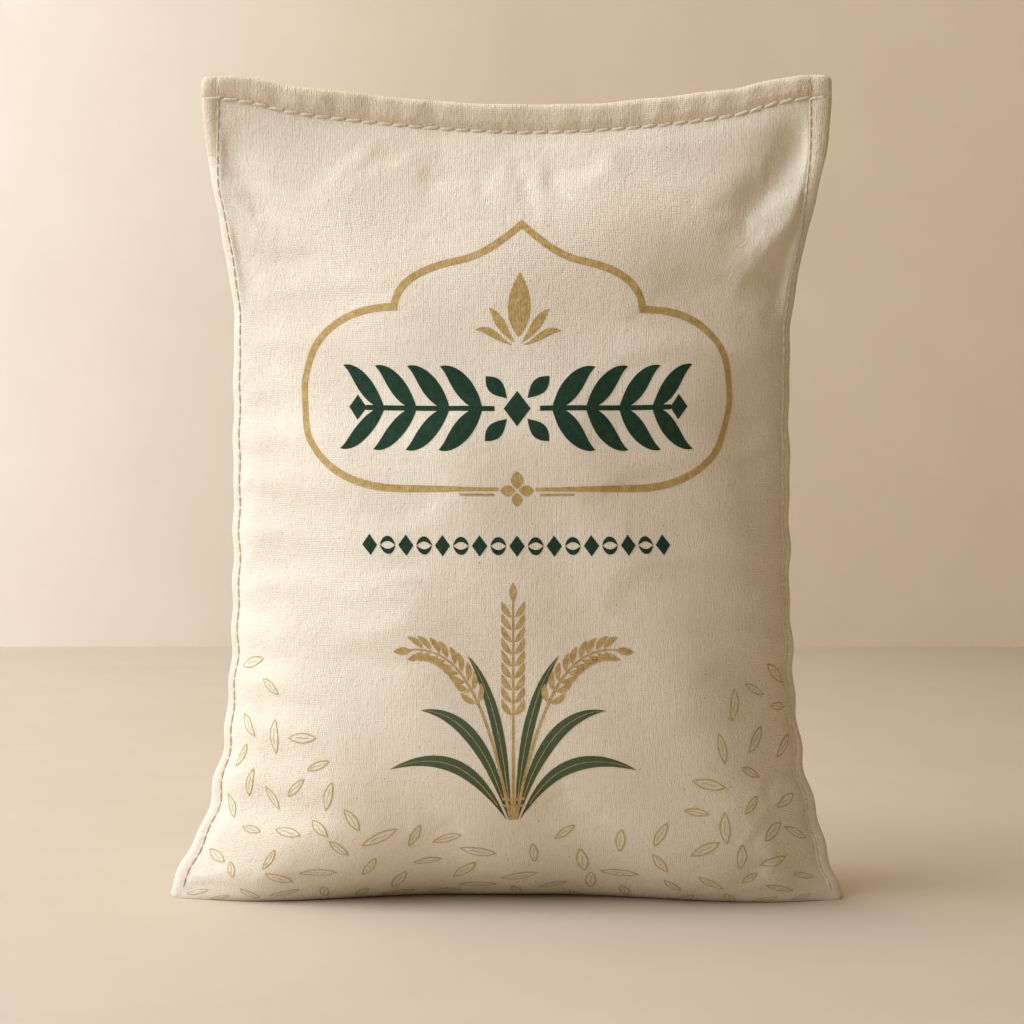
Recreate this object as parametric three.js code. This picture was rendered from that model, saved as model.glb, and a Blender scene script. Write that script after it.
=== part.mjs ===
// A cotton bag of rice that stands by itself: two cloth panels joined by a stitched seam down each side, closed by a
// folded hem across the top, and filled so that the body swells, the sides draw in and the bottom corners stick out.
// Millimetres, +Z up. The front faces -Y, and the origin is on the floor under the middle of the bag.
import * as THREE from "three";

// Outline, seen from the front.
const BAG_HEIGHT = 400; // from the floor to the top corners
const BASE_WIDTH = 328; // between the tips of the bottom corners
const WAIST_WIDTH = 272; // at the narrowest height
const TOP_WIDTH = 308; // between the top corners
const BASE_FLARE = 44; // height over which the bottom corners die away
const TOP_FLARE_START = 261; // height at which the sides start to spread again
const TOP_LEAN = 4.3; // how far the top stands to the right of the base
const TOP_SAG = 15; // dip of the top edge between its corners
const SAG_REACH = 0.85; // share of the half width over which the dip falls
const SAG_SPREAD = 3; // power by which the rows below take part in the dip

// Depth, seen from the side.
const BAG_DEPTH = 112; // front to back at the belly
const BELLY_HEIGHT = 74; // where the filling stands furthest out
const SHOULDER_START = 115; // where the bag starts to thin towards the hem
const SHOULDER_POWER = 0.85; // below 1 keeps the shoulder full
const FRONT_FOOT = 4; // how far the resting patch reaches forwards
const BACK_FOOT = 34; // and backwards
const FOOT_FADE = 22; // height over which the foot's place behind the middle dies away
const EAR_FORWARD = 16; // how far the bottom corners point forwards
const EAR_FADE = 36; // height over which that dies away
const EAR_START = 0.15; // share of the half width where the bottom edge starts to bend forwards
const EAR_FULL = 0.85; // and where it has come all the way

// Section, seen from above: the power of the curve across the bag, and how much its ends are rounded.
const FLAT_SECTION = { power: 2, rounding: 1 }; // at the floor and the hem
const FULL_SECTION = { power: 2.3, rounding: 0.78 }; // at the belly

// Cloth, hem and seams.
const HEM_AT_CORNERS = 11; // height of the folded hem
const HEM_AT_MIDDLE = 13.5;
const HEM_THICKNESS = 3.4; // four layers of cloth
const HEM_EDGE_POWER = 4; // how sharply its edges are rounded
const SEAM_THICKNESS = 1.8; // pressed together at a stitch line
const FLAP_THICKNESS = 2.6; // of the seam allowance outside the side stitches
const FLAP_AT_TOP = 9.8; // width of that allowance
const FLAP_BELOW = 7.6;
const CORNER_TAB = 36; // height of the doubled allowance under each top corner
const TAB_SWELL = 1.2; // how much thicker it is there
const FLAP_TURN_WAIST = 55; // degrees that it turns backwards at the waist
const FLAP_TURN_BASE = 28; // and at the floor
const PUCKER_DEPTH = 0.9; // in and out along the side seams
const PUCKER_LENGTH = 24;
const PUCKER_HEIGHT = 150; // height over which the puckers die away

// Folds that run down and inwards from the top corners: share of the half width and height of both ends.
const CORNER_FOLDS = [
  { side: 1, from: [0.95, 382], to: [0.72, 326], width: 10, depth: 7.5 },
  { side: 1, from: [0.99, 352], to: [0.88, 306], width: 7, depth: 3 },
  { side: -1, from: [0.94, 380], to: [0.74, 332], width: 10, depth: 4.5 },
  { side: -1, from: [0.99, 345], to: [0.88, 306], width: 7, depth: 2.5 },
];
const FOLD_START = [-0.25, 0.3]; // stretch of a fold over which it deepens
const FOLD_END = [0.6, 1.25]; // and over which it fades
const FOLD_LIMIT = 0.6; // share of the swell that a fold may take away

// Thread.
const HEM_THREAD = 1.6; // thickness of the thread along the hem
const HEM_STITCH = 7.2; // length of one stitch
const HEM_THREAD_SPAN = 0.99; // share of the half width that it runs along
const HEM_THREAD_RISE = 0.02; // its place on the hem, from the lower edge to the top edge
const HEM_BULGE = 0.9; // how far the cloth beside the stitches stands out
const HEM_THREAD_SIDES = 6;
const SIDE_THREAD = 1.0;
const SIDE_STITCH = 10;
const SIDE_THREAD_FRONT = 1.4; // how far outside the groove it runs
const SIDE_THREAD_BACK = 3.2;
const SIDE_THREAD_SIDES = 4;
const STITCH_PINCH = 0.55; // thickness of the thread where it enters the cloth, as a share of the full one
const THREAD_GAP = 0.3; // clear of the cloth

// Fineness of the cloth surface.
const BODY_COLUMNS = 34;
const BELLY_ROWS = 9;
const BODY_ROWS = 33;
const HEM_ROWS = [0, 0.16, 0.5, 0.86, 1];
const FLAP_STEPS = [0.5, 1];

const HEM_LINE = BAG_HEIGHT - HEM_AT_CORNERS;
const FRONT = -1;
const BACK = 1;
const LEFT = -1;
const RIGHT = 1;

const { clamp, degToRad, lerp, smoothstep } = THREE.MathUtils;

// Half widths from the middle line, by height.
function flapTip(height) {
  const base = ((BASE_WIDTH - WAIST_WIDTH) / 2) * Math.exp(-height / BASE_FLARE);
  const top = ((TOP_WIDTH - WAIST_WIDTH) / 2) * smoothstep(height, TOP_FLARE_START, BAG_HEIGHT);
  return WAIST_WIDTH / 2 + base + top;
}

function flapWidth(height) {
  return lerp(FLAP_BELOW, FLAP_AT_TOP, smoothstep(height, HEM_LINE - 2 * CORNER_TAB, HEM_LINE));
}

function flapTurn(height) {
  const fromBase = lerp(FLAP_TURN_BASE, FLAP_TURN_WAIST, smoothstep(height, 0, 2 * BASE_FLARE));
  return degToRad(fromBase * (1 - smoothstep(height, TOP_FLARE_START, HEM_LINE)));
}

function pucker(side, height) {
  const fade = Math.exp(-height / PUCKER_HEIGHT) * smoothstep(height, 0, PUCKER_LENGTH);
  const wave = Math.sin((2 * Math.PI * height) / PUCKER_LENGTH + side);
  return PUCKER_DEPTH * fade * wave;
}

function seamHalfWidth(side, height) {
  return flapTip(height) - flapWidth(height) * Math.cos(flapTurn(height)) + pucker(side, height);
}

function middleX(height) {
  return TOP_LEAN * smoothstep(height, 0, BAG_HEIGHT);
}

// Where the panels meet, front to back: the bottom corners point forwards, and the foot stands a little behind.
function middleY(share, height) {
  const foot = ((BACK_FOOT - FRONT_FOOT) / 2) * Math.exp(-height / FOOT_FADE);
  const ear = smoothstep(Math.abs(share), EAR_START, EAR_FULL);
  return foot * (1 - ear) - EAR_FORWARD * ear * Math.exp(-height / EAR_FADE);
}

// The top edge and the height of the hem below it, by the share of the half width.
function topEdge(share) {
  return BAG_HEIGHT - TOP_SAG * smoothstep((1 - Math.abs(share)) / SAG_REACH, 0, 1);
}

function hemHeight(share) {
  return lerp(HEM_AT_CORNERS, HEM_AT_MIDDLE, Math.max(0, 1 - share * share));
}

// Height of a point of the body: its rows bend with the dip of the hem, more and more towards the top.
function bodyZ(share, height) {
  const drop = HEM_LINE - (topEdge(share) - hemHeight(share));
  return height - drop * Math.pow(height / HEM_LINE, SAG_SPREAD);
}

// Half depth in the middle of the bag: a belly that curves under to the foot, and a shoulder that thins to the hem.
function bellyDepth(height) {
  const foot = (FRONT_FOOT + BACK_FOOT) / 2;
  const up = clamp(height / BELLY_HEIGHT, 0, 1);
  const belly = lerp(foot, BAG_DEPTH / 2, Math.sqrt(1 - (1 - up) * (1 - up)));
  const over = clamp((height - SHOULDER_START) / (HEM_LINE - SHOULDER_START), 0, 1);
  return belly * Math.pow(1 - over * over, SHOULDER_POWER);
}

// How the depth falls off from the middle to a side seam: fuller at the belly, flat and pointed at floor and hem.
function depthShare(share, height) {
  const full = smoothstep(height, 0, BELLY_HEIGHT) * (1 - smoothstep(height, SHOULDER_START, HEM_LINE));
  const power = lerp(FLAT_SECTION.power, FULL_SECTION.power, full);
  const rounding = lerp(FLAT_SECTION.rounding, FULL_SECTION.rounding, full);
  return Math.pow(Math.max(0, 1 - Math.pow(Math.abs(share), power)), rounding);
}

// How far the folds push the cloth in: each is a soft valley along a line, fading at both ends.
function foldDepth(share, height) {
  const place = new THREE.Vector2(share * seamHalfWidth(Math.sign(share) || 1, height), height);
  return CORNER_FOLDS.reduce((sum, { side, from, to, width, depth }) => {
    const [start, end] = [from, to].map(
      ([across, z]) => new THREE.Vector2(side * across * seamHalfWidth(side, z), z),
    );
    const run = end.clone().sub(start);
    const away = place.clone().sub(start);
    const along = away.dot(run) / run.lengthSq();
    const off = away.cross(run) / run.length();
    const fade = smoothstep(along, ...FOLD_START) * (1 - smoothstep(along, ...FOLD_END));
    return sum + depth * fade * Math.exp(-Math.pow(off / width, 2));
  }, 0);
}

function bodyPoint(face, share, height) {
  const swell = bellyDepth(height) * depthShare(share, height);
  const fold = Math.min(foldDepth(share, height), swell * FOLD_LIMIT);
  const x = middleX(height) + share * seamHalfWidth(Math.sign(share) || 1, height);
  const y = middleY(share, height) + face * (SEAM_THICKNESS / 2 + swell - fold);
  return new THREE.Vector3(x, y, bodyZ(share, height));
}

// The hem: a band of even thickness that is pressed in at its stitches and rounded along its top edge.
function hemPoint(face, share, rise) {
  const height = lerp(HEM_LINE, BAG_HEIGHT, rise);
  const round = Math.sqrt(Math.max(0, 1 - Math.pow(2 * rise - 1, HEM_EDGE_POWER)));
  const half = lerp(SEAM_THICKNESS, HEM_THICKNESS, round) / 2;
  const x = middleX(height) + share * seamHalfWidth(1, height);
  const z = topEdge(share) - hemHeight(share) * (1 - rise);
  return new THREE.Vector3(x, middleY(share, height) + face * half, z);
}

// The seam allowance outside a side's stitches, at a step of its width from the stitches (0) to its edge (1).
function flapPoint(face, side, step, height, rise) {
  const turn = flapTurn(height);
  const out = flapWidth(height) * step;
  const tab = height > HEM_LINE - CORNER_TAB ? TAB_SWELL : 1;
  const half = ((step < 1 ? FLAP_THICKNESS : FLAP_THICKNESS / 2) * tab) / 2;
  const root = rise === undefined ? bodyPoint(face, side, height) : hemPoint(face, side, rise);
  root.y = middleY(side, height);
  root.x += side * (Math.cos(turn) * out - face * Math.sin(turn) * half);
  root.y += Math.sin(turn) * out + face * Math.cos(turn) * half;
  return root;
}

// Columns run from the left flap's edge to the right flap's edge, and rows from the floor to the top edge.
const columns = [
  ...FLAP_STEPS.toReversed().map((step) => ({ flap: LEFT, step })),
  ...Array.from({ length: BODY_COLUMNS + 1 }, (_, i) => ({ share: -Math.cos((Math.PI * i) / BODY_COLUMNS) })),
  ...FLAP_STEPS.map((step) => ({ flap: RIGHT, step })),
];

const rows = [
  ...Array.from({ length: BELLY_ROWS }, (_, i) => ({
    height: BELLY_HEIGHT * (1 - Math.cos((Math.PI * i) / (2 * BELLY_ROWS))),
  })),
  ...Array.from({ length: BODY_ROWS }, (_, i) => ({ height: lerp(BELLY_HEIGHT, HEM_LINE, i / BODY_ROWS) })),
  ...HEM_ROWS.map((rise) => ({ height: lerp(HEM_LINE, BAG_HEIGHT, rise), rise })),
];

function clothPoint(face, column, row) {
  if (column.flap) return flapPoint(face, column.flap, column.step, row.height, row.rise);
  if (row.rise === undefined) return bodyPoint(face, column.share, row.height);
  return hemPoint(face, column.share, row.rise);
}

function surface(positions, index) {
  const geometry = new THREE.BufferGeometry();
  geometry.setAttribute("position", new THREE.Float32BufferAttribute(positions, 3));
  geometry.setIndex(index);
  geometry.computeVertexNormals();
  return geometry;
}

// One closed surface: front and back panels, joined along the floor, the flap edges and the top edge.
function clothGeometry() {
  const wide = columns.length;
  const tall = rows.length;
  const positions = [FRONT, BACK].flatMap((face) =>
    rows.flatMap((row) => columns.flatMap((column) => clothPoint(face, column, row).toArray())),
  );
  const index = [];
  const at = (face, row, column) => (face === BACK ? wide * tall : 0) + row * wide + column;
  const quad = (a, b, c, d) => index.push(a, b, c, a, c, d);
  const right = wide - 1;
  const top = tall - 1;
  for (let r = 0; r < top; r++) {
    for (let c = 0; c < right; c++) {
      quad(at(FRONT, r, c), at(FRONT, r, c + 1), at(FRONT, r + 1, c + 1), at(FRONT, r + 1, c));
      quad(at(BACK, r, c + 1), at(BACK, r, c), at(BACK, r + 1, c), at(BACK, r + 1, c + 1));
    }
    quad(at(BACK, r, 0), at(FRONT, r, 0), at(FRONT, r + 1, 0), at(BACK, r + 1, 0));
    quad(at(FRONT, r, right), at(BACK, r, right), at(BACK, r + 1, right), at(FRONT, r + 1, right));
  }
  for (let c = 0; c < right; c++) {
    quad(at(BACK, 0, c), at(BACK, 0, c + 1), at(FRONT, 0, c + 1), at(FRONT, 0, c));
    quad(at(FRONT, top, c), at(FRONT, top, c + 1), at(BACK, top, c + 1), at(BACK, top, c));
  }
  return surface(positions, index);
}

// A sewn thread: one closed tube that swells at the middle of each stitch and pinches where it enters the cloth.
function threadGeometry(path, thickness, sides) {
  const positions = path.flatMap((point, i) => {
    const before = path[Math.max(i - 1, 0)];
    const after = path[Math.min(i + 1, path.length - 1)];
    const along = after.clone().sub(before).normalize();
    const out = new THREE.Vector3(0, 1, 0).cross(along).normalize();
    const up = along.clone().cross(out);
    const radius = (thickness / 2) * (i % 2 ? 1 : STITCH_PINCH);
    return Array.from({ length: sides }, (_, k) => {
      const angle = (2 * Math.PI * k) / sides;
      const spoke = point.clone();
      spoke.addScaledVector(out, Math.cos(angle) * radius);
      spoke.addScaledVector(up, Math.sin(angle) * radius);
      return spoke.toArray();
    }).flat();
  });
  const index = [];
  for (let i = 0; i + 1 < path.length; i++) {
    for (let k = 0; k < sides; k++) {
      const a = i * sides + k;
      const b = i * sides + ((k + 1) % sides);
      index.push(a, b, b + sides, a, b + sides, a + sides);
    }
  }
  const last = (path.length - 1) * sides;
  for (let k = 1; k + 1 < sides; k++) {
    index.push(0, k + 1, k);
    index.push(last, last + k, last + k + 1);
  }
  return surface(positions, index);
}

// The hem's thread runs along the hem's lower edge, clear of the cloth that bulges beside the stitches.
function hemThreadPath(face) {
  const count = Math.round((2 * seamHalfWidth(1, HEM_LINE)) / HEM_STITCH) * 2;
  const lift = SEAM_THICKNESS / 2 + HEM_BULGE + HEM_THREAD / 2 + THREAD_GAP;
  return Array.from({ length: count + 1 }, (_, i) => {
    const share = lerp(-HEM_THREAD_SPAN, HEM_THREAD_SPAN, i / count);
    const point = hemPoint(face, share, HEM_THREAD_RISE);
    point.y = middleY(share, HEM_LINE) + face * lift;
    return point;
  });
}

// On the seam allowance, just outside the groove where it meets the body, which is tighter at the back.
function sideThreadPath(face, side) {
  const count = Math.round((HEM_LINE - SIDE_STITCH) / SIDE_STITCH) * 2;
  const lift = FLAP_THICKNESS / 2 + SIDE_THREAD / 2 + THREAD_GAP;
  const out = face === FRONT ? SIDE_THREAD_FRONT : SIDE_THREAD_BACK;
  return Array.from({ length: count + 1 }, (_, i) => {
    const height = lerp(SIDE_STITCH / 2, HEM_LINE - SIDE_STITCH / 2, i / count);
    const turn = flapTurn(height);
    const point = bodyPoint(face, side, height);
    point.x += side * (Math.cos(turn) * out - face * Math.sin(turn) * lift);
    point.y = middleY(side, height) + Math.sin(turn) * out + face * Math.cos(turn) * lift;
    return point;
  });
}

const cloth = new THREE.MeshStandardMaterial({ color: 0xdccdb4, roughness: 0.95, metalness: 0 });
const thread = new THREE.MeshStandardMaterial({ color: 0xd6c39c, roughness: 0.9, metalness: 0 });

const bag = new THREE.Group();

function addPiece(name, geometry, material) {
  const mesh = new THREE.Mesh(geometry, material);
  mesh.name = name;
  bag.add(mesh);
}

addPiece("bag", clothGeometry(), cloth);
for (const [faceName, face] of [["front", FRONT], ["back", BACK]]) {
  addPiece(`hem_thread_${faceName}`, threadGeometry(hemThreadPath(face), HEM_THREAD, HEM_THREAD_SIDES), thread);
  for (const [sideName, side] of [["left", LEFT], ["right", RIGHT]]) {
    const geometry = threadGeometry(sideThreadPath(face, side), SIDE_THREAD, SIDE_THREAD_SIDES);
    addPiece(`side_thread_${sideName}_${faceName}`, geometry, thread);
  }
}

export default bag;
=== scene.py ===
# %% [markdown]
# # A cotton bag of rice
# A filled cotton bag that stands by itself. The solids came first and arrive as a fixed frame, so this
# lesson only dresses them: a fine cloth in place of the plain solid, real stitches in place of the plain
# threads, and a print that lies on the cloth. Everything stays in the frame's own place and size, so
# nothing is fitted afterwards.

# %% Load the frame
import math

import bmesh
import bpy
import numpy as np
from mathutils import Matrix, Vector


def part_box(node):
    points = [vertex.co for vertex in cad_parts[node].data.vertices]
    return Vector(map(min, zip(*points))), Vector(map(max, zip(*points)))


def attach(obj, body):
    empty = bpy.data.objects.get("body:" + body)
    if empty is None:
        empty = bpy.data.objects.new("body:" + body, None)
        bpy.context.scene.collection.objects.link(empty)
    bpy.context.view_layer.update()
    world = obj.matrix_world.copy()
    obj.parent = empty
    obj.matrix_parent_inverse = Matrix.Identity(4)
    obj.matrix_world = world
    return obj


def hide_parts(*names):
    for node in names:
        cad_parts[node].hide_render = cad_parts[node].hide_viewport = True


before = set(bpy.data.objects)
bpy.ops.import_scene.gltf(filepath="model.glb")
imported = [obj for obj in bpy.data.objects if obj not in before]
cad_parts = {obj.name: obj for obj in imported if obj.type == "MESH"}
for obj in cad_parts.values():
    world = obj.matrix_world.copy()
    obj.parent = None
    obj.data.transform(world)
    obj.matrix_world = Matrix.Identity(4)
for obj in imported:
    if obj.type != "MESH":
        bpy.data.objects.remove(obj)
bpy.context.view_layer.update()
MM = 0.001
print("solids:", sorted(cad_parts))

# %% [markdown]
# ## The camera
# The picture was taken with a long lens from a little above the middle of the bag, so its sides look
# almost upright. A lens could be found by trial, but it is quicker to measure: the rows of the picture
# where the floor and the top corners lie give the scale, the scale gives the distance, and the horizon's
# row gives the camera's height.

# %% Camera from measured rows of the picture
PICTURE_SIDE = 1024
FLOOR_ROW = 892  # where the floor under the middle of the bag lies
CORNER_ROW = 76  # the top corners
HORIZON_ROW = 440
MIDDLE_COLUMN = 506  # the middle of the base
LENS = 85
SENSOR = 36

bag_low, bag_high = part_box("bag")
BAG_HEIGHT = bag_high.z / MM
pixel = BAG_HEIGHT * MM / (FLOOR_ROW - CORNER_ROW)
focal = LENS / SENSOR * PICTURE_SIDE
camera_distance = focal * pixel
camera_height = (FLOOR_ROW - HORIZON_ROW) * pixel
floor_angle = math.atan(camera_height / camera_distance)
tilt = floor_angle - math.atan((FLOOR_ROW - PICTURE_SIDE / 2) / focal)

camera_data = bpy.data.cameras.new("camera")
camera_data.lens = LENS
camera_data.sensor_width = SENSOR
camera_data.clip_start = 0.05
camera = bpy.data.objects.new("camera", camera_data)
camera.location = ((PICTURE_SIDE / 2 - MIDDLE_COLUMN) * pixel, -camera_distance, camera_height)
camera.rotation_euler = (math.pi / 2 - tilt, 0, 0)
bpy.context.scene.collection.objects.link(camera)
bpy.context.scene.camera = camera
print(f"camera {camera_distance:.3f} m away and {camera_height:.3f} m up")
print(f"tilted down by {math.degrees(tilt):.2f} degrees")

# %% [markdown]
# ## The outline of the bag
# The real bag is two flat panels sewn together. Filled, its belly swells, so the sides draw in, while the
# hem and the bottom corners keep the full width of the cloth. The same few named sizes that made the
# solid make the cloth here, so that both have one form. The overall sizes are read from the frame, and
# the work is done in millimetres.

# %% Sizes of the bag
CLOTH_PRESSED = 1.8  # both panels pressed together at a stitch line
BASE_WIDTH = 328  # between the tips of the bottom corners
WAIST_WIDTH = 272  # at the narrowest height
TOP_WIDTH = 306.6  # between the top corners
BASE_FLARE = 50  # height over which the bottom corners die away
FLARE_POWER = 1.3
TOP_FLARE = (272, 388)  # heights between which the sides spread again
BASE_LEAN = 2.4  # how far the middle line lies to the right above the foot
TOP_LEAN = 2.8  # and how much further at the top
TOP_SAG = 14  # of the top edge in the middle
SAG_POWER = 1.7
SAG_TILT = 0.15  # how much more the top sags on the right
SAG_SPREAD = 3  # power with which the sag dies away below the hem
BAG_DEPTH = (bag_high.y - bag_low.y) / MM - CLOTH_PRESSED
BELLY_HEIGHT = 74  # where the bag is deepest
SECTION_HEIGHT = 42  # height at which the section has its full roundness
SHOULDER_START = 115  # above this height the bag thins towards the hem
SHOULDER_POWER = 0.85
FRONT_FOOT = 2  # how far the foot reaches forward and back of the seam plane
BACK_FOOT = 34
FOOT_FADE = 22
EAR_FORWARD = (16, 20)  # how far the left and the right bottom corner stand forward
EAR_FADE = (70, 150)
EAR_START = (0.15, 0.1)  # share of the half width where a corner starts
EAR_FULL = (0.85, 0.9)
HEM_AT_CORNERS = 11
HEM_AT_MIDDLE = 13.6
FLAP_THICKNESS = 3.4
FLAP_AT_TOP = (8.6, 11.0)  # width of the left and the right flap at the hem
FLAP_BELOW = 7.6
FLAP_ON_MAP = 9.8  # width of a flap on the flat cloth
CORNER_TAB = 30  # how far the doubled part of a flap reaches below the hem
FLAP_TURN_WAIST = 55  # degrees that a flap turns back
FLAP_TURN_BASE = 28
FLAP_FLAT = ((342, 392), (318, 366))  # heights between which a turned flap comes to lie flat
HEM_LINE = BAG_HEIGHT - HEM_AT_CORNERS
FRONT = -1
BACK = 1
LEFT = -1
RIGHT = 1
print(f"bag {BAG_HEIGHT:.0f} mm tall, {BAG_DEPTH:.0f} mm deep at the belly")


# %% Outline functions
def smooth(value, low, high):
    part = np.clip((value - low) / (high - low), 0.0, 1.0)
    return part * part * (3.0 - 2.0 * part)


def mix(first, second, share):
    return first + (second - first) * share


def by_side(side, pair):
    """The first of a pair on the left, the second on the right."""
    return np.where(np.asarray(side) < 0, pair[0], pair[1])


def flap_tip(height):
    base = (BASE_WIDTH - WAIST_WIDTH) / 2 * np.exp(-((height / BASE_FLARE) ** FLARE_POWER))
    top = (TOP_WIDTH - WAIST_WIDTH) / 2 * smooth(height, *TOP_FLARE)
    return WAIST_WIDTH / 2 + base + top


def flap_width(side, height):
    return mix(FLAP_BELOW, by_side(side, FLAP_AT_TOP), smooth(height, HEM_LINE - 1.5 * CORNER_TAB, HEM_LINE))


def flap_turn(side, height):
    from_base = mix(FLAP_TURN_BASE, FLAP_TURN_WAIST, smooth(height, 0, 2 * BASE_FLARE))
    low, high = (by_side(side, pair) for pair in zip(*FLAP_FLAT))
    return np.radians(from_base * (1 - smooth(height, low, high)))


def middle_x(height):
    return BASE_LEAN * smooth(height, 10, 45) + TOP_LEAN * smooth(height, 230, 390)


def middle_y(share, height):
    foot = (BACK_FOOT - FRONT_FOOT) / 2 * np.exp(-height / FOOT_FADE)
    ear = smooth(np.abs(share), by_side(share, EAR_START), by_side(share, EAR_FULL))
    return foot * (1 - ear) - by_side(share, EAR_FORWARD) * ear * np.exp(-height / by_side(share, EAR_FADE))


def top_edge(share):
    out = np.abs(share)
    sag = TOP_SAG * (1 - out**SAG_POWER) * (1 - smooth(out, 0.75, 1)) * (1 + SAG_TILT * share)
    return BAG_HEIGHT - sag


def hem_height(share):
    return mix(HEM_AT_CORNERS, HEM_AT_MIDDLE, np.maximum(0, 1 - share**6))


def body_z(share, height):
    drop = HEM_LINE - (top_edge(share) - hem_height(share))
    return height - drop * (height / HEM_LINE) ** SAG_SPREAD


def belly_depth(height):
    up = np.clip(height / BELLY_HEIGHT, 0, 1)
    belly = mix((FRONT_FOOT + BACK_FOOT) / 2, BAG_DEPTH / 2, np.sqrt(1 - (1 - up) ** 2))
    over = np.clip((height - SHOULDER_START) / (HEM_LINE - SHOULDER_START), 0, 1)
    return belly * (1 - over**2) ** SHOULDER_POWER


def depth_share(share, height):
    full = smooth(height, 0, SECTION_HEIGHT) * (1 - smooth(height, SHOULDER_START, HEM_LINE))
    inside = np.maximum(0, 1 - np.abs(share) ** mix(2.0, 2.3, full))
    return inside ** mix(1.0, 0.78, full)


# %% [markdown]
# ## Puckers along the seams and folds under the corners
# Where a tight seam gathers slack cloth, the cloth buckles. Along the lower sides these are soft
# scallops, and from each top corner folds run down and inwards, because the flat hem pulls on the round
# body. Such folds could be left to the simulation, but their places are known here, so they are drawn as
# valleys and ridges along lines.

# %% Puckers and corner folds
PUCKER_DEPTH = 1.1
PUCKER_LENGTHS = (24, 41)
PUCKER_HEIGHT = 150

# across and up of the start, the bend and the end of each fold on its panel, its width and its depth
FRONT_FOLDS = (
    ((151, 398), (131, 369), (92, 340), 11.5, 6.8),
    ((172, 367), (140, 348), (92, 306), 11, -3.2),
    ((172, 362), (152, 338), (126, 296), 11, 4.6),
    ((-150, 396), (-134, 362), (-104, 340), 10, 2.2),
    ((-156, 352), (-144, 330), (-132, 304), 10, 1.2),
)
BACK_FOLDS = (
    ((150, 396), (134, 362), (102, 338), 9, 3.2),
    ((-150, 396), (-136, 364), (-106, 346), 9, 2.8),
    ((-157, 352), (-148, 330), (-140, 304), 8, 1.6),
)
FOLD_LIMIT = 1.6  # most of both panels' folds together, as a share of the swell of one panel
FOLD_STEPS = 31
FOLD_DEEPENS = (0, 0.3)  # shares of its length over which a fold deepens
FOLD_FADES = (0.55, 1)


def pucker(side, height):
    fade = np.exp(-height / PUCKER_HEIGHT) * smooth(height, 0, PUCKER_LENGTHS[0])
    short, long = (np.sin(2 * np.pi * height / length + side) for length in PUCKER_LENGTHS)
    return PUCKER_DEPTH * fade * (short + 0.6 * long)


def seam_half_width(side, height):
    flap = flap_width(side, height) * np.cos(flap_turn(side, height))
    return flap_tip(height) - flap + pucker(side, height)


# %% Panels with folds
def fold_depth(folds, across, up):
    """How far the folds of a panel sink in at a flat place. A fold of negative depth stands out."""
    across, up = np.broadcast_arrays(across, up)
    total = np.zeros(across.shape)
    for start, bend, end, width, depth in folds:
        t = np.linspace(0, 1, FOLD_STEPS)[:, None]
        line = (1 - t) ** 2 * np.array(start) + 2 * t * (1 - t) * np.array(bend) + t**2 * np.array(end)
        gaps = np.hypot(across[..., None] - line[:, 0], up[..., None] - line[:, 1])
        along = t[np.argmin(gaps, axis=-1), 0]
        fade = smooth(along, *FOLD_DEEPENS) * (1 - smooth(along, *FOLD_FADES))
        total += depth * fade * np.exp(-((gaps.min(axis=-1) / width) ** 2))
    return total


def body_point(face, share, height, fold=0.0):
    share, height = np.broadcast_arrays(np.asarray(share, float), np.asarray(height, float))
    swell = belly_depth(height) * depth_share(share, height)
    half = seam_half_width(np.where(share < 0, LEFT, RIGHT), height)
    x = middle_x(height) + share * half
    y = middle_y(share, height) + face * (CLOTH_PRESSED / 2 + swell - fold)
    return np.stack([x, y, body_z(share, height)], axis=-1)


# %% [markdown]
# ## Flat coordinates for the panels
# A print and a weave are made on flat cloth, and only then is the cloth bent round the filling. So each
# panel gets flat coordinates in millimetres: across, measured round the belly from the middle line, and
# up, measured along the middle line from the floor. Columns and rows at even steps of these make cells of
# even size on the curved bag.

# %% Measure the panels
FINE = 4000
belly_share = np.linspace(0, 1, FINE)
belly_line = body_point(FRONT, belly_share, BELLY_HEIGHT)
belly_arc = np.concatenate([[0], np.cumsum(np.linalg.norm(np.diff(belly_line, axis=0), axis=1))])
PANEL_HALF = belly_arc[-1]
middle_height = np.linspace(0, HEM_LINE, FINE)
middle_line = body_point(FRONT, 0.0, middle_height)
middle_arc = np.concatenate([[0], np.cumsum(np.linalg.norm(np.diff(middle_line, axis=0), axis=1))])
PANEL_TALL = middle_arc[-1]


def share_at(across):
    return np.sign(across) * np.interp(np.abs(across), belly_arc, belly_share)


def height_at(up):
    return np.interp(up, middle_arc, middle_height)


print(f"flat panel {2 * PANEL_HALF:.0f} mm wide and {PANEL_TALL:.0f} mm tall")


# %% [markdown]
# ## Cloth simulation
# The functions give a smooth bag, and real cotton is never quite smooth. To let the cloth find its own
# small buckles, a coarser bag is sewn from both panels, pinned at the floor, the seams and the hem, cut a
# little too large, and blown up by Blender's Cloth with no gravity. Its broad swelling is taken off
# again, because the solid already has the right size, and the movement that is left is capped, so that
# only the soft unevenness stays.

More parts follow.
